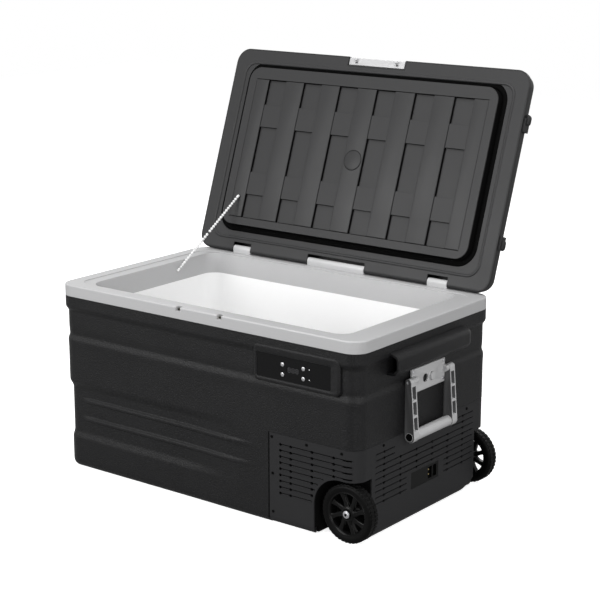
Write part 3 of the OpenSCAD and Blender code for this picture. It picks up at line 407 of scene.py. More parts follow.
# %% Lamps
def lamp(name, place, target, size, power):
    data = bpy.data.lights.new(name, "AREA")
    data.shape = "RECTANGLE"
    data.size, data.size_y = size
    data.energy = power
    made = bpy.data.objects.new(name, data)
    scene.collection.objects.link(made)
    made.location = place
    made.rotation_euler = (Vector(target) - Vector(place)).to_track_quat("-Z", "Y").to_euler()
    return made


lamp("top_softbox", (0.2, -0.6, 2.6), (0, 0, 0.3), (2.4, 1.8), 46)
lamp("front_softbox", (-1.2, -3.0, 1.3), (0, 0, 0.35), (1.6, 1.6), 64)
lamp("side_softbox", (3.0, -0.3, 1.1), (0.2, 0, 0.3), (1.4, 1.4), 25)
lamp("back_softbox", (-0.8, 2.6, 1.8), (0, 0, 0.4), (1.6, 1.6), 22)
lamp("corner_strip", (2.4, -1.9, 0.75), (0.35, -0.2, 0.25), (0.3, 1.2), 16)
print("lamps:", len(bpy.data.lights))

# %% Surround
world = bpy.data.worlds.new("world")
scene.world = world
world.use_nodes = True
surround = Graph(world.node_tree)
faint = surround.node("ShaderNodeBackground", {}, {"Color": (1, 1, 1, 1), "Strength": 0.2})
white = surround.node("ShaderNodeBackground", {}, {"Color": (1, 1, 1, 1), "Strength": 1.0})
shows_white = surround.ray("Camera").either(surround.ray("Glossy")).either(surround.ray("Transmission"))
surround.finish_with("World Output", surround.node("ShaderNodeMixShader", {}, {
    0: shows_white, 1: faint, 2: white}))
print("surround ready")


# %% [markdown]
# ## Drawing in millimetres
# The shapes below are drawn in millimetres, as on a workshop drawing, and scaled to metres when the
# piece is made. A loft is the workhorse: a stack of loops with the same number of points, joined row by
# row. With its first and last loops closed it is a solid.

# %% Lofts
def box_mm(node):
    low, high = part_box(node)
    return low / MM, high / MM


def loft_faces(rows, columns):
    """Joins each row of points to the next, and each row's last point to its first."""
    return [(i * columns + j, i * columns + (j + 1) % columns,
             (i + 1) * columns + (j + 1) % columns, (i + 1) * columns + j)
            for i in range(rows - 1) for j in range(columns)]


def round_walk(half_x, half_y, radius, xs, ys, steps=10):
    """Places and outward directions round a rounded rectangle: front, right, back, left."""
    cx, cy = half_x - radius, half_y - radius
    sides = [([(t, -half_y) for t in xs], (0, -1)), ([(half_x, t) for t in ys], (1, 0)),
             ([(t, half_y) for t in xs[::-1]], (0, 1)), ([(-half_x, t) for t in ys[::-1]], (-1, 0))]
    corners = [(cx, -cy, -90), (cx, cy, 0), (-cx, cy, 90), (-cx, -cy, 180)]
    walk = []
    for (places, outward), (ox, oy, start) in zip(sides, corners):
        walk += [(*place, *outward) for place in places]
        for k in range(1, steps):
            a = math.radians(start + 90 * k / steps)
            walk.append((ox + radius * math.cos(a), oy + radius * math.sin(a), math.cos(a), math.sin(a)))
    return np.array(walk)


def spread(low, high, pitch, fine=(), reach=5.0, step=1.0):
    """Values from low to high about a pitch apart, and a step apart near each place in fine."""
    marks = {low, high}
    for place in fine:
        marks |= {round(v, 3) for v in np.arange(place - reach, place + reach + step / 2, step)}
    marks = sorted(v for v in marks if low <= v <= high)
    out = []
    for a, b in zip(marks, marks[1:]):
        out += list(np.linspace(a, b, max(1, math.ceil((b - a) / pitch)), endpoint=False))
    return np.array(out + [high])


print("loft helpers ready")

# %% [markdown]
# ## The tub's outer skin
# The real tub is one rotational or injection moulding: broad bands set back from one another by soft
# ledges, with two ribs that run out to the right. Every one of these is a change in how far the wall
# lies inside the rim's outline at some height. So the skin is one grid wrapped round the rounded
# rectangle, and a short profile says how deep it lies. Averaging the profile over a few millimetres
# gives each ledge the soft edge of a moulding.

# %% Levels of the wall
shell_high = box_mm("outer_shell")[1]
panel_low, panel_high = box_mm("vent_panel")
well_low, well_high = box_mm("wheel_wells")
HALF_X, HALF_Y, ROUND = HALF_L / MM, HALF_D / MM, CORNER / MM
WALL_TOP = shell_high.z
LEDGE_1 = WALL_TOP - 98
LEDGE_2 = panel_high.z - 10
LEDGE_3 = 68.0
LEDGE = 14.0
BOTTOM_R = 16.0
BOTTOM_IN = 20.0
FLOOR_IN = 26.0
SEAT_X = panel_low.x - 0.5
SEAT_Z = panel_high.z + 0.5
SEAT_IN = 7.8
print("levels:", round(WALL_TOP), round(LEDGE_1), round(LEDGE_2), round(LEDGE_3))

# %% Profile of the wall
# Each pair is a height and how deep the wall lies there. The lower bands fade out to the right
UPPER = [(LEDGE_1 - 16, 4), (LEDGE_1 - 5, 3.2), (LEDGE_1 + 1, 3.5), (LEDGE_1 + 11, 7.2), (LEDGE_1 + 26, 6),
         (WALL_TOP - 33, 6), (WALL_TOP - 25, 0), (WALL_TOP + 9, 0)]
LOWER = [(0, 7), (LEDGE_3, 7), (LEDGE_3 + LEDGE, 11), (LEDGE_2, 11), (LEDGE_2 + LEDGE, 4), (WALL_TOP, 4)]
LOWER_FADE = (-60, 104)
RIBS = [LEDGE_3 + 89, LEDGE_3 + 47]
RIB_PROUD = 4.2
RIB_SHAPE = [(-6, 0), (-4.5, 1), (1.5, 1), (5.5, 0)]
RIB_START, RIB_END = (-348, -322), (30, 150)


def ease(value, low, high):
    t = np.clip((value - low) / (high - low), 0, 1)
    return t * t * (3 - 2 * t)


def blurred(profile, heights, reach, samples):
    """The profile's value, averaged over a few millimetres up and down."""
    levels, values = zip(*profile)
    return np.interp(heights[..., None] + np.linspace(-reach, reach, samples), levels, values).mean(-1)


def wall_depth(z, x):
    """How far inside the rim's outline the wall lies, at heights z and at places x along the length."""
    keep = 1 - ease(x, *LOWER_FADE)
    depth = blurred(UPPER, z, 3, 9) + (blurred(LOWER, z, 3, 9) - 4) * keep
    run = ease(x, *RIB_START) * (1 - ease(x, *RIB_END))
    for rib in RIBS:
        depth = depth - RIB_PROUD * run * blurred([(rib + rise, out) for rise, out in RIB_SHAPE], z, 1, 5)
    return depth


for z in (100, 200, 300):
    print("depth", z, "mm up:", round(float(wall_depth(np.array(z), -200.0)), 1), "mm")

# %% Where the wall's points stand
columns_x = spread(-(HALF_X - ROUND), HALF_X - ROUND, 9, [SEAT_X], 0.2, 0.4)
columns_y = spread(-(HALF_Y - ROUND), HALF_Y - ROUND, 12)
walk = round_walk(HALF_X, HALF_Y, ROUND, columns_x, columns_y, 12)
breaks = [WALL_TOP - 25, WALL_TOP - 33, LEDGE_1 + LEDGE, LEDGE_1, LEDGE_2 + LEDGE, LEDGE_2,
          LEDGE_3 + LEDGE, LEDGE_3]
breaks += [rib + rise for rib in RIBS for rise in (-5, 3)]
heights = spread(BOTTOM_R, WALL_TOP, 9, breaks, 5, 1)
heights = np.array(sorted({*heights, SEAT_Z - 0.2, SEAT_Z + 0.2}))[::-1]
count = len(walk)
print("grid:", len(heights), "rows of", count, "points")

# %% How deep each of them lies
# The ribs stay on the long sides, so the corners and the ends take the plain profile
on_end = np.abs(walk[:, 2]) > 0.01
left = walk[:, 0] < 0
RIB_FREE_LEFT, RIB_FREE_RIGHT, FULL_LEFT = float(RIB_START[0]), 500.0, -300.0
along = np.where(left & on_end, FULL_LEFT, np.where(on_end, RIB_FREE_RIGHT, walk[:, 0]))
Z, X = np.meshgrid(heights, along, indexing="ij")
depth = wall_depth(Z, X)
rib_free = wall_depth(Z, np.where(X < 0, RIB_FREE_LEFT, RIB_FREE_RIGHT))
depth = np.where(on_end[None, :], rib_free, depth)
in_seat = (Z < SEAT_Z) & (walk[None, :, 0] > SEAT_X)
depth = np.where(in_seat, SEAT_IN, depth)
print("depth:", round(float(depth.min()), 1), "to", round(float(depth.max()), 1), "mm")


# %% The skin as one grid
def row_at(inset, z):
    return np.column_stack([walk[:, 0] - walk[:, 2] * inset, walk[:, 1] - walk[:, 3] * inset,
                            np.broadcast_to(z, count)])


rows = [row_at(deep, z) for deep, z in zip(depth, Z)]
TURN_ROWS = 8
for k in range(1, TURN_ROWS + 1):
    # The wall turns under in a quarter of an ellipse
    a = math.radians(90 * k / TURN_ROWS)
    inset = BOTTOM_IN - (BOTTOM_IN - depth[-1]) * math.cos(a)
    under_seat = BOTTOM_R - (BOTTOM_IN - SEAT_IN) * math.sin(a)
    rows.append(row_at(inset, np.where(in_seat[-1], under_seat, BOTTOM_R * (1 - math.sin(a)))))
inner = [(FLOOR_IN, 0), (FLOOR_IN, 5), (14.5, 19), (14.5, 200), (7.5, 206), (7.5, LEDGE_1 - 2),
         (9.5, LEDGE_1 + 12), (9.5, WALL_TOP - 35), (3.5, WALL_TOP - 27), (3.5, WALL_TOP)]
rows += [row_at(inset, float(z)) for inset, z in inner]
# Each row joins the next, and the last joins the first along the hidden top edge
skin_faces = loft_faces(len(rows), count)
top = (len(rows) - 1) * count
skin_faces += [(top + j, top + (j + 1) % count, (j + 1) % count, j) for j in range(count)]
# The floor's two faces close the grid, so the narrow wall between their rows is left out
floor_row = len(heights) + TURN_ROWS
skin_faces.append(tuple(floor_row * count + j for j in range(count)))
skin_faces.append(tuple((floor_row + 1) * count + j for j in range(count))[::-1])
skin_faces = [f for f in skin_faces if (min(f) // count, max(f) // count) != (floor_row, floor_row + 1)]
skin_faces = [tuple(reversed(f)) for f in skin_faces]
skin = piece("outer_shell_skin", np.concatenate(rows) * MM, skin_faces, SHELL, "cabinet",
             ["outer_shell"])
print("skin:", len(skin.data.polygons), "faces")


# %% [markdown]
# ## Openings in the skin
# The skin is cut where the wheels stand in their arches, where the vent panel covers it, and behind the
# window. A cutter is a prism of a flat drawing, so one function makes them all, and a boolean takes them
# away. The solver used here keeps a closed skin closed.

# %% Cutting tools
def prism(points, axis, low, high):
    """A closed prism of a drawing, with which a piece is cut. The drawing's axes are the other two."""
    order = {"y": (0, 2, 1), "z": (0, 1, 2)}[axis]
    stack = []
    for level in (low, high):
        for u, v in points:
            place = (u, v, level)
            stack.append([place[k] * MM for k in order])
    n = len(points)
    faces = [tuple(range(n))[::-1], tuple(range(n, 2 * n))]
    faces += [(j, (j + 1) % n, n + (j + 1) % n, n + j) for j in range(n)]
    mesh = bpy.data.meshes.new("cutter")
    mesh.from_pydata(stack, [], faces)
    bm = bmesh.new()
    bm.from_mesh(mesh)
    bmesh.ops.recalc_face_normals(bm, faces=bm.faces)
    bm.to_mesh(mesh)
    bm.free()
    made = bpy.data.objects.new("cutter", mesh)
    scene.collection.objects.link(made)
    return made


def cut(thing, cutters):
    for cutter in cutters:
        carve = thing.modifiers.new("carve", "BOOLEAN")
        carve.operation = "DIFFERENCE"
        carve.solver = "MANIFOLD"
        carve.object = cutter
    freeze(thing)
    for cutter in cutters:
        bpy.data.objects.remove(cutter)
    thing.data.shade_smooth()
    thing.data.set_sharp_from_angle(angle=math.radians(40))
    return thing


def rectangle(x0, x1, y0, y1):
    return [(x0, y0), (x1, y0), (x1, y1), (x0, y1)]


print("cutting tools ready")

# %% Cut the skin
window_low, window_high = box_mm("control_window")
ARCH_R = 65.0
ARCH_X, ARCH_Z = well_low.x + ARCH_R, well_high.z - ARCH_R
BEYOND = 500
arch = [(ARCH_X - ARCH_R, -20)]
quarter = np.linspace(0, math.pi / 2, 13)
arch += [(ARCH_X - ARCH_R * math.cos(a), ARCH_Z + ARCH_R * math.sin(a)) for a in quarter]
arch += [(BEYOND, ARCH_Z + ARCH_R), (BEYOND, -20)]
WELL_DEPTH = 56
tools = [prism(arch, "y", -300, WELL_DEPTH - HALF_Y), prism(arch, "y", HALF_Y - WELL_DEPTH, 300)]
behind_panel = rectangle(panel_low.x + 18, BEYOND, -300, 300)
tools.append(prism(behind_panel, "z", panel_low.z + 20, panel_high.z - 18))
behind_window = rectangle(window_low.x + 6, window_high.x - 6, window_low.z + 4, window_high.z - 4)
tools.append(prism(behind_window, "y", -300, 25 - HALF_Y))
cut(skin, tools)
print("skin after cutting:", len(skin.data.polygons), "faces")

# %% [markdown]
# ## Rounded drawings
# Nearly every moulding is a polygon with rounded corners, drawn at several levels. `rounded` keeps the
# number of points the same at any radius, so its loops can be lofted. `Batch` collects many small lofts
# into one piece. The lid is drawn shut, and `turn_open` turns the drawing about the hinge.

# %% Rounded outlines
def rounded(points, radii, steps=5):
    out = []
    for i, (point, radius) in enumerate(zip(points, radii)):
        corner = np.array(point, float)
        a = np.array(points[i - 1], float) - corner
        b = np.array(points[(i + 1) % len(points)], float) - corner
        long_a, long_b = np.linalg.norm(a), np.linalg.norm(b)
        a, b = a / long_a, b / long_b
        half = math.acos(float(np.clip(a @ b, -1, 1))) / 2
        reach = min(radius / math.tan(half), 0.49 * long_a, 0.49 * long_b)
        centre = corner + (a + b) / np.linalg.norm(a + b) * reach / math.cos(half)
        start, end = corner + a * reach - centre, corner + b * reach - centre
        angle = math.pi - 2 * half
        for k in range(steps + 1):
            t = k / steps
            swept = start * math.sin((1 - t) * angle) + end * math.sin(t * angle)
            out.append(centre + swept / math.sin(angle))
    return np.array(out)


print("an outline of four corners has", len(rounded(rectangle(0, 2, 0, 1), [0.2] * 4)), "points")


# %% Batches, and the open lid
def turn_open(points):
    joint = next(j for j in frame["record"]["behaviour"]["joints"] if j["name"] == "lid_hinge")
    pivot = np.array(joint["pos_m"]) / MM
    a = -math.radians(joint["range_deg"][1])
    spin = np.array([[1, 0, 0], [0, math.cos(a), -math.sin(a)], [0, math.sin(a), math.cos(a)]])
    return (np.asarray(points, float) - pivot) @ spin.T + pivot


class Batch:
    def __init__(self):
        self.points = []
        self.faces = []

    def add(self, loops, ring=False):
        """A loft of the loops: a ring joins the last loop to the first, else both ends are closed."""
        grid = np.array(loops, float)
        rows, columns, _ = grid.shape
        faces = loft_faces(rows, columns)
        last = (rows - 1) * columns
        if ring:
            faces += [(last + j, last + (j + 1) % columns, (j + 1) % columns, j) for j in range(columns)]
        else:
            faces += [tuple(range(columns))[::-1], tuple(range(last, rows * columns))]
        start = sum(len(p) for p in self.points)
        self.points.append(grid.reshape(-1, 3))
        self.faces += [tuple(start + i for i in face) for face in faces]

    def make(self, name, finish, body, replaced=(), smooth=40, mirror=None, opened=False):
        points = np.concatenate(self.points)
        if opened:
            points = turn_open(points)
        if mirror is not None:
            points = points * np.where(np.arange(3) == mirror, -1, 1)
        made = piece(name, points * MM, self.faces, finish, body, replaced, smooth)
        bm = bmesh.new()
        bm.from_mesh(made.data)
        bmesh.ops.recalc_face_normals(bm, faces=bm.faces)
        bm.to_mesh(made.data)
        bm.free()
        return made


def circle(radius, level, centre=(0.0, 0.0), steps=32, axis="y"):
    """A ring of points about the Y axis, or about the Z axis, at a level along it."""
    turn = np.linspace(0, 2 * math.pi, steps, endpoint=False)
    u, v = centre[0] + radius * np.cos(turn), centre[1] + radius * np.sin(turn)
    flat = np.full(steps, float(level))
    return np.column_stack([u, flat, v] if axis == "y" else [u, v, flat])


print("outline helpers ready")

# %% [markdown]
# ## Control panel
# The panel's frame stands proud of the tub with a soft rounded edge, and slopes in to the glossy window.
# The four keys are domed, and the display is off: its digits are only a trace lighter than the glass.

# %% Frame round the window
def front_loop(x0, x1, z0, z1, radius, y):
    return [(u, y, v) for u, v in rounded(rectangle(x0, x1, z0, z1), [radius] * 4, 6)]


wx0, wx1, wz0, wz1 = window_low.x, window_high.x, window_low.z, window_high.z
bx0, bx1, bz0, bz1 = wx0 - 9, wx1 + 22, wz0 - 10, wz1 + 18
face_y = window_low.y - 1.5
FRAME_R, WINDOW_R = 12, 3
# First the inset from the frame's outer edge and the depth behind its face, and below them the growth
# round the window and the depth
OUTER_ROLL = [(0, 10), (0, 4), (0.3, 2.6), (1.0, 1.2), (2.2, 0.1), (3.8, -0.7), (5.4, -1.0), (6.6, -0.9)]
INNER_SLOPE = [(2.0, -0.6), (1.0, -0.2), (0.3, 0.6), (0.0, 1.8), (0.0, 10.0)]
frame_loops = [front_loop(bx0 + inset, bx1 - inset, bz0 + inset, bz1 - inset, FRAME_R - inset, face_y + deep)
               for inset, deep in OUTER_ROLL]
frame_loops += [front_loop(wx0 - grow, wx1 + grow, wz0 - grow, wz1 + grow, WINDOW_R + grow, face_y + deep)
                for grow, deep in INNER_SLOPE]
bezel = Batch()
bezel.add(frame_loops, ring=True)
bezel.make("panel_bezel", SHELL, "cabinet")
print("bezel:", round(bx1 - bx0), "by", round(bz1 - bz0), "mm")

# %% Keys
KEY_DOME = [(3.0, 5.5), (3.0, 0.12), (4.3, 0.1), (4.4, -0.2), (4.1, -0.55), (3.3, -0.8), (2.0, -1.0),
            (0.6, -1.05)]
for node in ("power_button", "settings_button", "plus_button", "minus_button"):
    low, high = box_mm(node)
    middle = ((low.x + high.x) / 2, (low.z + high.z) / 2)
    key = Batch()
    key.add([circle(radius, low.y + out, middle, 28) for radius, out in KEY_DOME])
    key.make(node + "_dome", SILVER, BODY_OF_NODE[node], [node], 60)
print("key domes:", 2 * max(radius for radius, out in KEY_DOME), "mm across")

# %% Digits
# Each bar of an eight: where its middle lies, in half digits, and whether it stands upright
BARS = [(0, 1, False), (0.5, 0.5, True), (0.5, -0.5, True), (0, -1, False), (-0.5, -0.5, True),
        (-0.5, 0.5, True), (0, 0, False)]
BAR = [(-1.9, 0), (-1.3, 0.6), (1.3, 0.6), (1.9, 0), (1.3, -0.6), (-1.3, -0.6)]
DIGITS, DIGIT_PITCH, DIGIT_WIDE, HALF_TALL = 3, 9.5, 5.6, 4.4
display_low, display_high = box_mm("display_module")
digits = Batch()
for place in range(DIGITS):
    ox = display_low.x + 6.5 + place * DIGIT_PITCH
    oz = (display_low.z + display_high.z) / 2
    for u, v, upright in BARS:
        cx, cz = ox + u * DIGIT_WIDE, oz + v * HALF_TALL
        outline = [(cx + (b if upright else a), cz + (a if upright else b)) for a, b in BAR]
        digits.add([[(a, display_low.y - proud, b) for a, b in outline] for proud in (0.0, 0.12)])
digits.make("display_digits", SEGMENT, "cabinet")
print("digits:", len(digits.faces), "faces")

# %% [markdown]
# ## Strap hoods
# Each end carries a hood that a tie-down strap passes through. Its wall is 4 mm, its front end is an
# open slot, and its far end runs down to the wall in a bevel.

# %% The hood's section
hood_low, hood_high = box_mm("strap_hood_right")
x0, x1, y0, y1, z0, z1 = hood_low.x, hood_high.x, hood_low.y, hood_high.y, hood_low.z, hood_high.z
HOOD_OUTER = [((x0 + 5, z1 - 1.2), 1.2), ((x1, z1 - 8), 11), ((x1, z0 + 11), 8), ((x1 - 10, z0), 6),
              ((x0 - 1, z0), 0.8)]
HOOD_INNER = [((x0 - 1, z0 + 4), 0.8), ((x1 - 12.5, z0 + 4), 4), ((x1 - 4, z0 + 12.5), 4),
              ((x1 - 4, z1 - 12), 7), ((x0 + 5, z1 - 5.5), 0.8)]
section = rounded(*zip(*(HOOD_OUTER + HOOD_INNER)), 4)
away = section - np.array([x0 + 10, (z0 + z1) / 2])
away /= np.linalg.norm(away, axis=1)[:, None]
print("hood section:", len(section), "points")

# %% Hoods
# Along the hood: a place, how far the edge is rounded back, and how far the section leans to the wall
STATIONS = [(y0, 0.9, 0), (y0 + 0.4, 0.3, 0), (y0 + 1.2, 0, 0), (y1 - 22, 0, 0), (y1 - 16, 0, 0.05),
            (y1 - 10, 0, 0.16), (y1 - 5, 0, 0.34), (y1 - 1.5, 0, 0.56), (y1, 0, 0.72)]
loops = []
for y, shrink, lean in STATIONS:
    across = x0 + (section[:, 0] - x0) * (1 - lean)
    upward = section[:, 1] - (section[:, 1] - z0) * 0.1 * lean
    loops.append(np.column_stack([across - away[:, 0] * shrink, np.full(len(section), y),
                                  upward - away[:, 1] * shrink]))
for mirror, node in ((None, "strap_hood_right"), (0, "strap_hood_left")):
    hood = Batch()
    hood.add(loops)
    hood.make(node + "_moulding", SHELL, "cabinet", [node], 45, mirror)
print("hood depth:", round(x1 - x0, 1), "mm")

# %% [markdown]
# ## Lid
# The lid's inner panel is a basket weave: upright strips lie over short recessed cells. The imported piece
# has the cells, and the strips are laid on it here, each with a soft edge.

# %% Strips on the lid's panel
SHUT_FACE = RIM_TOP / MM + 1 - 14
WEAVE = 102.0
STRIP = 25.5
PANEL_HALF = 316.0
PANEL_Y = (-166.5, 158.5)
STRIP_EDGE = [(0, 1.6), (0, 0.35), (0.5, -0.15), (1.3, -0.4)]
EDGE_STRIP = 280.5
strip_places = [(-PANEL_HALF, -EDGE_STRIP)] + [(WEAVE * k - STRIP, WEAVE * k + STRIP) for k in range(-2, 3)]
strip_places.append((EDGE_STRIP, PANEL_HALF))
strips = Batch()
for a, b in strip_places:
    loops = []
    for inset, level in STRIP_EDGE:
        outline = rectangle(a + inset, b - inset, PANEL_Y[0] + inset, PANEL_Y[1] - inset)
        loops.append([(u, v, SHUT_FACE + level) for u, v in rounded(outline, [1.0] * 4, 2)])
    strips.add(loops)
strips.make("lid_strips", LID_GREY, "lid", opened=True)
print("strips:", len(strip_places))

# %% [markdown]
# ## Seals of the lid
# A seal is a section carried round a rounded rectangle. The lid has two: the half-round bead that meets
# the rim, and the black one in the groove, which wears the painted-shade finish for the groove's deep
# shadow. A dark skirt closes the groove's inner wall, because so little light reaches it on the real lid.


# %% Seals
def ring_round(half_x, y0, y1, radius, section):
    """A section of (offset outward, level) carried round a rounded rectangle."""
    loops = []
    for offset, level in section:
        outline = rectangle(-half_x - offset, half_x + offset, y0 - offset, y1 + offset)
        loops.append([(u, v, level) for u, v in rounded(outline, [radius + offset] * 4, 14)])
    return loops


# Each path: half its length, its near and far sides, and the radius of its corners
BEAD_PATH = (365.5, -207.5, 207.5, 28)
GROOVE_PATH = (345, -202.5, 184.5, 37)
SKIRT_PATH = (337.5, -195, 177, 30)
BEAD_OUT, BEAD_DEEP = 3.4, 3.0
bead_top = RIM_TOP / MM - 1.2
bead_arc = [(BEAD_OUT * math.cos(a), bead_top + BEAD_DEEP - BEAD_DEEP * math.sin(a))
            for a in np.linspace(0, math.pi, 11)]
bead_section = [(BEAD_OUT, bead_top + 5)] + bead_arc + [(-BEAD_OUT, bead_top + 5)]
groove_section = [(out, SHUT_FACE + up) for out, up in
                  ((6.5, 20.5), (6.5, 17), (3, 15.5), (-3, 15.5), (-6.5, 17), (-6.5, 20.5))]
skirt_section = [(out, SHUT_FACE + up) for out, up in ((0.2, 3), (1.0, 3.6), (1.0, 21), (0.2, 21))]
bead = Batch()
bead.add(ring_round(*BEAD_PATH, bead_section), ring=True)
bead.make("lid_seal_bead", LID_GREY, "lid", ["lid_gasket"], 70, opened=True)
# The groove's black seal is near-black painted shade, standing for the groove's depth
groove = Batch()
groove.add(ring_round(*GROOVE_PATH, groove_section), ring=True)
groove.make("lid_groove_seal_shade", SHADE, "lid", smooth=70, opened=True)
skirt = Batch()
skirt.add(ring_round(*SKIRT_PATH, skirt_section), ring=True)
skirt.make("lid_plug_skirt", SHADE, "lid", smooth=50, opened=True)
print("seals: 3")

# %% [markdown]
# ## Shadows between the strips
# The cells' walls that lie away from the light stay dark, as in a deep mould. At this size a shadow a
# millimetre wide is easily lost, so a thin dark lining is laid along those walls.


# %% Painted shadow lines
def shadow_bar(x0, x1, y0, y1, low, high):
    shadow_lines.add([[(u, v, SHUT_FACE + level) for u, v in rectangle(x0, x1, y0, y1)] for level in (high, low)])


FIRST_CELL = -280.0
CELL_WIDE = 49
CELL_ROWS = [(0, 0.17), (0.33, 0.66), (0.82, 1)]
SHADOW_Y0, SHADOW_Y1 = -167, 159
shadow_lines = Batch()
for column in range(6):
    x = FIRST_CELL + WEAVE * column
    shadow_bar(x - 0.5, x + 0.6, *PANEL_Y, 0.86, 1.3)
    for near, far in CELL_ROWS:
        y1, y0 = SHADOW_Y1 + (SHADOW_Y0 - SHADOW_Y1) * near, SHADOW_Y1 + (SHADOW_Y0 - SHADOW_Y1) * far
        shadow_bar(x, x + 0.9, y0, y1, 1.1, 5.95)
        shadow_bar(x, x + CELL_WIDE, y0, y0 + 0.9, 1.1, 5.95)
        shadow_bar(x, x + 2.2, y0, y1, 5.7, 5.95)
# Two more painted shadow lines run along the panel's near and far edges
for y in (SHADOW_Y0 - 0.4, SHADOW_Y1 + 0.2):
    shadow_bar(-PANEL_HALF - 1, PANEL_HALF + 1, y - 0.6, y + 0.6, -0.12, 0.9)
shadow_lines.make("lid_shadow_lines", SHADE, "lid", opened=True)
print("seams:", len(shadow_lines.points))

# %% Side lugs, cap and softened fittings
LUG_ENDS = [(394, 1), (402, 1), (404, 0.94), (405, 0.8)]
LUG_Z, LUG_LOW, LUG_HIGH = 432, 425, 439
lugs = Batch()
for y in (-137, 131):
    outline = [(y - 13, LUG_LOW), (y + 13, LUG_LOW), (y + 9, LUG_HIGH), (y - 9, LUG_HIGH)]
    outline = rounded(outline, [4] * 4, 4)
    lugs.add([[(x, y + (u - y) * k, LUG_Z + (v - LUG_Z) * k) for u, v in outline] for x, k in LUG_ENDS])
lugs.make("lid_side_lugs", LID_BLACK, "lid", opened=True)
CAP_Y, CAP_R = -4, 22.0
# A near-black ring in the painted-shade finish edges the foam cap
cap_shade_ring = Batch()
cap_shade_ring.add([circle(CAP_R + wider, SHUT_FACE + level, (0.0, CAP_Y), 48, "z")
              for wider, level in ((0, 1.6), (0, -0.5), (1.2, -0.5), (1.2, 1.6))], ring=True)
cap_shade_ring.make("foam_cap_shade_ring", SHADE, "lid", opened=True)
for node, width, segments in (("foam_cap", 0.8, 2), ("latch_bar", 0.8, 3), ("hinge_knuckles", 0.9, 3)):
    soften(node, width * MM, segments)
print("lid pieces made")

# %% [markdown]
# ## Wheels
# A tyre is one grid: its section goes round the rim, and the tread's blocks are steps in its radius,
# shifted by half a block from one shoulder to the other. The wheel has eight curved spokes, with open
# gaps between them.

# %% Tyres
tyre_low, tyre_high = box_mm("front_wheel_tyre")
WHEEL_R = (tyre_high.z - tyre_low.z) / 2
WHEEL_X, WHEEL_Z = (tyre_low.x + tyre_high.x) / 2, (tyre_low.z + tyre_high.z) / 2
OUT, WIDE = tyre_low.y, tyre_high.y - tyre_low.y
BLOCKS = 42
PER_BLOCK = 6
TREAD_DEEP = 1.1


def tread(level, column):
    """How far the tread is cut down at a place across the tyre, 0 at its outer face and 1 at its inner."""
    step = (column / PER_BLOCK + (0.5 if level > 0.5 else 0.0)) % 1
    in_middle = 0.44 < level < 0.56
    return TREAD_DEEP if step > 0.66 or in_middle else 0.0


# Places across the tyre and the part of its radius there: the outer wall, the tread, the inner wall
OUTER_WALL = [(0.06, 0.745), (0.03, 0.80), (0.0, 0.87), (0.02, 0.93), (0.07, 0.962), (0.12, 0.975)]
TREAD_ACROSS = [0.14, 0.3, 0.43, 0.45, 0.55, 0.57, 0.7, 0.86]
INNER_WALL = [(0.88, 0.975), (0.93, 0.962), (0.98, 0.93), (1.0, 0.87), (0.97, 0.80), (0.94, 0.745)]
tyre_section = OUTER_WALL + [(across, 1.0) for across in TREAD_ACROSS] + INNER_WALL
columns = BLOCKS * PER_BLOCK
loops = []
for across, part in tyre_section:
    ring = []
    for c in range(columns):
        a = 2 * math.pi * c / columns
        radius = WHEEL_R * part - (tread(across, c) if part > 0.97 else 0)
        ring.append((WHEEL_X + radius * math.cos(a), OUT + WIDE * across, WHEEL_Z + radius * math.sin(a)))
    loops.append(ring)
for mirror, node in ((None, "front_wheel_tyre"), (1, "rear_wheel_tyre")):
    tyre = Batch()
    tyre.add(loops, ring=True)
    tyre.make(node + "_tread", RUBBER, BODY_OF_NODE[node], [node], 35, mirror)
print("tyre radius", round(WHEEL_R, 1), "width", round(WIDE, 1))

# %% Spoked wheels
SPOKES = 8
RIM_R = WHEEL_R * 0.755
HUB_R = 16
RIM_SECTION = [(0, WIDE - 2), (0, 2.2), (-0.8, 1.4), (-2.4, 1.4), (-3.4, 2.6), (-5, 5.5), (-6, 9),
               (-6, WIDE - 4), (-3, WIDE - 2)]
HUB_SECTION = [(5.1, WIDE - 1), (HUB_R, WIDE - 1), (HUB_R, 6), (15.4, 4.4), (13.5, 3.2), (10.5, 2.8),
               (9.4, 3.6), (9.0, 5.0), (5.1, 5.0)]
SPOKE_FROM, SPOKE_TO, SPOKE_LEAN = HUB_R - 2, RIM_R - 3, 0.14


def wheel_ring(section):
    return [circle(radius, OUT + y, (WHEEL_X, WHEEL_Z), 64) for radius, y in section]


def spoke(base):
    """One spoke, lofted outward from the hub; it is waisted in the middle and leans with the turn."""
    stations = []
    for t in np.linspace(0, 1, 8):
        r = SPOKE_FROM + (SPOKE_TO - SPOKE_FROM) * t
        lean = base + SPOKE_LEAN * math.sin(t * math.pi / 2) ** 1.3
        half = 4.4 + 5.2 * abs(t - 0.45) ** 1.6
        crown = 4.6 + 3.0 * t * (1 - t)
        out_x, out_z = math.cos(lean), math.sin(lean)
        stations.append([(WHEEL_X + r * out_x - u * out_z, OUT + v, WHEEL_Z + r * out_z + u * out_x)
                         for u, v in rounded(rectangle(-half, half, crown, 17), [1.8] * 4, 3)])
    return stations


for mirror, node in ((None, "front_wheel_hub"), (1, "rear_wheel_hub")):
    wheel = Batch()
    wheel.add(wheel_ring([(RIM_R + out, y) for out, y in RIM_SECTION]), ring=True)
    wheel.add(wheel_ring(HUB_SECTION), ring=True)
    for k in range(SPOKES):
        wheel.add(spoke(2 * math.pi * k / SPOKES + 0.2))
    wheel.make(node + "_spoked", HUB, BODY_OF_NODE[node], [node], 40, mirror)
soften("axle_caps", 0.6 * MM, 3)
cap_high = box_mm("axle_caps")[1]
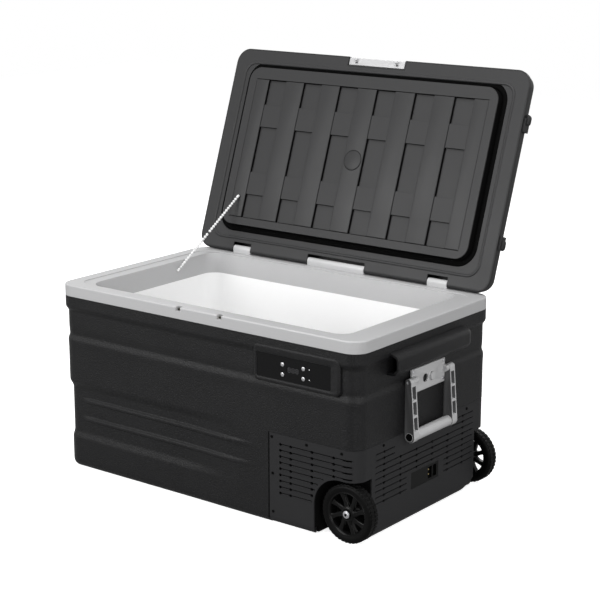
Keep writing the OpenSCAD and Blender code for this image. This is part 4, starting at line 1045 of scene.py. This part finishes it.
# A near-black disc on each axle cap paints the shade of its recess
recess_shade = Batch()
for side_y in (-1, 1):
    recess_shade.add([circle(radius, side_y * (cap_high.y + proud), (WHEEL_X, WHEEL_Z), 20)
                for radius, proud in ((3.0, -1), (3.0, 0.15), (0.3, 0.16))])
recess_shade.make("axle_cap_recess_shade", SHADE, "cabinet")
print("spokes:", SPOKES, "rim radius", round(RIM_R, 1))

# %% [markdown]
# ## Handles
# The handles' arms and brackets are the imported pieces with their sharp edges rounded. The arms are pale
# in front and dark on the flanks, and the grip is a tube, so each of its ends shows a bore, whose shade
# is painted by a near-black plug set just inside.

# %% Handles
SOFTENED = [("bracket", 0.7, 2, None), ("arms", 0.7, 2, ARM), ("grip", 1.0, 3, None),
            ("screws", 0.5, 2, None)]
grip_low, grip_high = box_mm("right_handle_grip")
grip_middle = ((grip_low.x + grip_high.x) / 2, (grip_low.z + grip_high.z) / 2)
# Near-black plugs just inside the grip's ends paint the shade in its bore
BORE_SHADE = [(7.9, -0.2), (7.9, 1.5), (6.0, 1.7), (0.4, 1.7)]
for mirror, side in ((None, "right"), (0, "left")):
    for part, width, segments, finish in SOFTENED:
        soften(f"{side}_handle_{part}", width * MM, segments, finish)
    bore_shade = Batch()
    for end_y, inward in ((grip_low.y, 1), (grip_high.y, -1)):
        bore_shade.add([circle(radius, end_y + inward * deep, grip_middle, 24) for radius, deep in BORE_SHADE])
    grip = f"{side}_handle_grip"
    bore_shade.make(grip + "_bore", SHADE, BODY_OF_NODE[grip], mirror=mirror)
print("grip length:", round(grip_high.y - grip_low.y), "mm")

# %% [markdown]
# ## Stay chain
# The stay chain is a run of beads with a thin neck between each two. It is drawn in two straight runs,
# one from the rim and one from the lid, so that each can follow its own body when the lid shuts.

# %% Bead chain
BEAD_R, BEAD_PITCH = 3.25, 7.1
FIRST_BEAD, LAST_GAP = 3.2, 1.5
joints = {j["name"]: j for j in frame["record"]["behaviour"]["joints"]}
ends = {node: np.array(joints[node + "_fold"]["pos_m"]) / MM for node in ("chain_lower", "chain_upper")}
meeting = sum(ends.values()) / 2
for node, start in ends.items():
    run = meeting - start
    length = np.linalg.norm(run)
    forward = run / length
    sideways = np.cross(forward, [0, 0, 1])
    sideways /= np.linalg.norm(sideways)
    upward = np.cross(sideways, forward)
    bead_places = np.arange(FIRST_BEAD, length - LAST_GAP, BEAD_PITCH)
    profile = [(t + BEAD_R * math.sin(a), BEAD_R * math.cos(a)) for t in bead_places
               for a in np.linspace(-1.28, 1.28, 9)]
    turns = np.linspace(0, 2 * math.pi, 14, endpoint=False)
    chain = Batch()
    chain.add([[start + forward * distance + radius * (sideways * math.cos(a) + upward * math.sin(a))
                for a in turns] for distance, radius in profile])
    chain.make(node + "_beads", BEAD, BODY_OF_NODE[node], [node], 80)
print("chain runs:", round(length, 1), "mm each, with", len(bead_places), "beads")

# %% [markdown]
# ## Vent screen
# Each louvre slot has a rounded lip along its lower half, broken at the round holes, which catches the
# light. Behind the slots lie near-black sheets that paint the shade seen through them.

# %% Painted shade behind the slots
SHADE_SHEET_LOW, SHADE_SHEET_HIGH = panel_low.z + 22, panel_high.z - 11
SLOTS_END = panel_high.x - 33.5
arch_left = ARCH_X - ARCH_R
SHADE_SHEET_FRONT = [(panel_low.x + 14, arch_left - 4, SHADE_SHEET_LOW), (arch_left - 3.5, SLOTS_END, ARCH_Z + 70)]
SHADE_SHEET_IN = (10.5, 11.3)
# Near-black sheets behind the slots paint the shade inside the tub
shade_sheet = Batch()
for x0, x1, z0 in SHADE_SHEET_FRONT:
    outline = rounded(rectangle(x0, x1, z0, SHADE_SHEET_HIGH), [6] * 4, 3)
    for side_y in (-1, 1):
        shade_sheet.add([[(u, side_y * (HALF_Y - inset), v) for u, v in outline] for inset in SHADE_SHEET_IN])
outline = rounded(rectangle(-176, 176, SHADE_SHEET_LOW, SHADE_SHEET_HIGH), [6] * 4, 3)
shade_sheet.add([[(HALF_X - inset, u, v) for u, v in outline] for inset in SHADE_SHEET_IN])
shade_sheet.make("vent_shade_sheet", SHADE, "cabinet")
print("gauze:", len(shade_sheet.points), "sheets")

# %% A lip for each slot
SLOT_ROWS, SLOT_PITCH = 9, 12.8
SLOT_TOP = panel_high.z - 21
PANEL_IN = 4.5
DOT_R = 3.3
LIP_SECTION = [(0.0, -0.1), (-0.55, -0.5), (-0.6, -1.2), (-0.1, -1.9), (1.5, -1.9), (1.5, -0.1)]
lips = Batch()


def lip_bar(a, b, z, place):
    """A bar from a to b below a slot's middle; place puts it on a face at a depth."""
    lips.add([[place(t, out, z + rise) for out, rise in LIP_SECTION] for t in (a, b)])


def between_dots(a, b, dots):
    marks = [a] + [v for d in dots if a - 1 <= d < b for v in (d - DOT_R, d + DOT_R)] + [b]
    marks = sorted(v for v in marks if a <= v <= b)
    return [(u + 0.2, v - 0.2) for u, v in zip(marks, marks[1:])
            if v - u > 1 and not any(abs((u + v) / 2 - d) < DOT_R - 0.1 for d in dots)]


def front_end(z):
    """Where a front slot at this height ends: short of the wheel's arch, or of the panel's corner."""
    clear = ARCH_R + 2
    if z > ARCH_Z + clear:
        return SLOTS_END
    return min(SLOTS_END, ARCH_X - math.sqrt(clear ** 2 - max(z - ARCH_Z, 0) ** 2))


print("slots:", SLOT_ROWS, "rows", SLOT_PITCH, "mm apart")

# %% Lips on the three faces
FRONT_START = panel_low.x + 28
FRONT_DOTS = [FRONT_START, FRONT_START + 26, FRONT_START + 79, FRONT_START + 132]
END_DOTS = [-145 + 57 * k for k in range(6)]
END_LOW, END_HIGH = -174, 180
UNDER_HANDLE, BESIDE_SOCKETS = (-108, 100), (-65, 70)
SOCKETS_TOP = 104
for row in range(SLOT_ROWS):
    z = SLOT_TOP - SLOT_PITCH * row
    for a, b in between_dots(FRONT_START, front_end(z) - 1, FRONT_DOTS):
        for side_y in (-1, 1):
            lip_bar(a, b, z, lambda t, out, h, k=side_y: (t, k * (HALF_Y - PANEL_IN - out), h))
    gap = UNDER_HANDLE if row < 2 else None if z - 3.6 > SOCKETS_TOP else BESIDE_SOCKETS
    for c, d in [(END_LOW, gap[0]), (gap[1], END_HIGH)] if gap else [(END_LOW, END_HIGH)]:
        for a, b in between_dots(c, d, END_DOTS):
            lip_bar(a, b, z, lambda t, out, h: (HALF_X - PANEL_IN - out, t, h))
lips.make("vent_lips", PANEL, "cabinet")
print("lips:", len(lips.faces), "faces")

# %% Painted shadow in the joint between the panel and the shell
# A near-black strip in the joint paints the shadow of the gap
joint_shadow = Batch()
for side_y in (-1, 1):
    joint_shadow.add([[(x, side_y * y, z) for x, z in rectangle(SEAT_X - 1.4, SEAT_X + 0.9, 12, SEAT_Z)]
              for y in (HALF_Y - 8, HALF_Y - 3.9)])
joint_shadow.make("panel_joint_shadow", SHADE, "cabinet")
print("joint height:", round(SEAT_Z - 12), "mm")
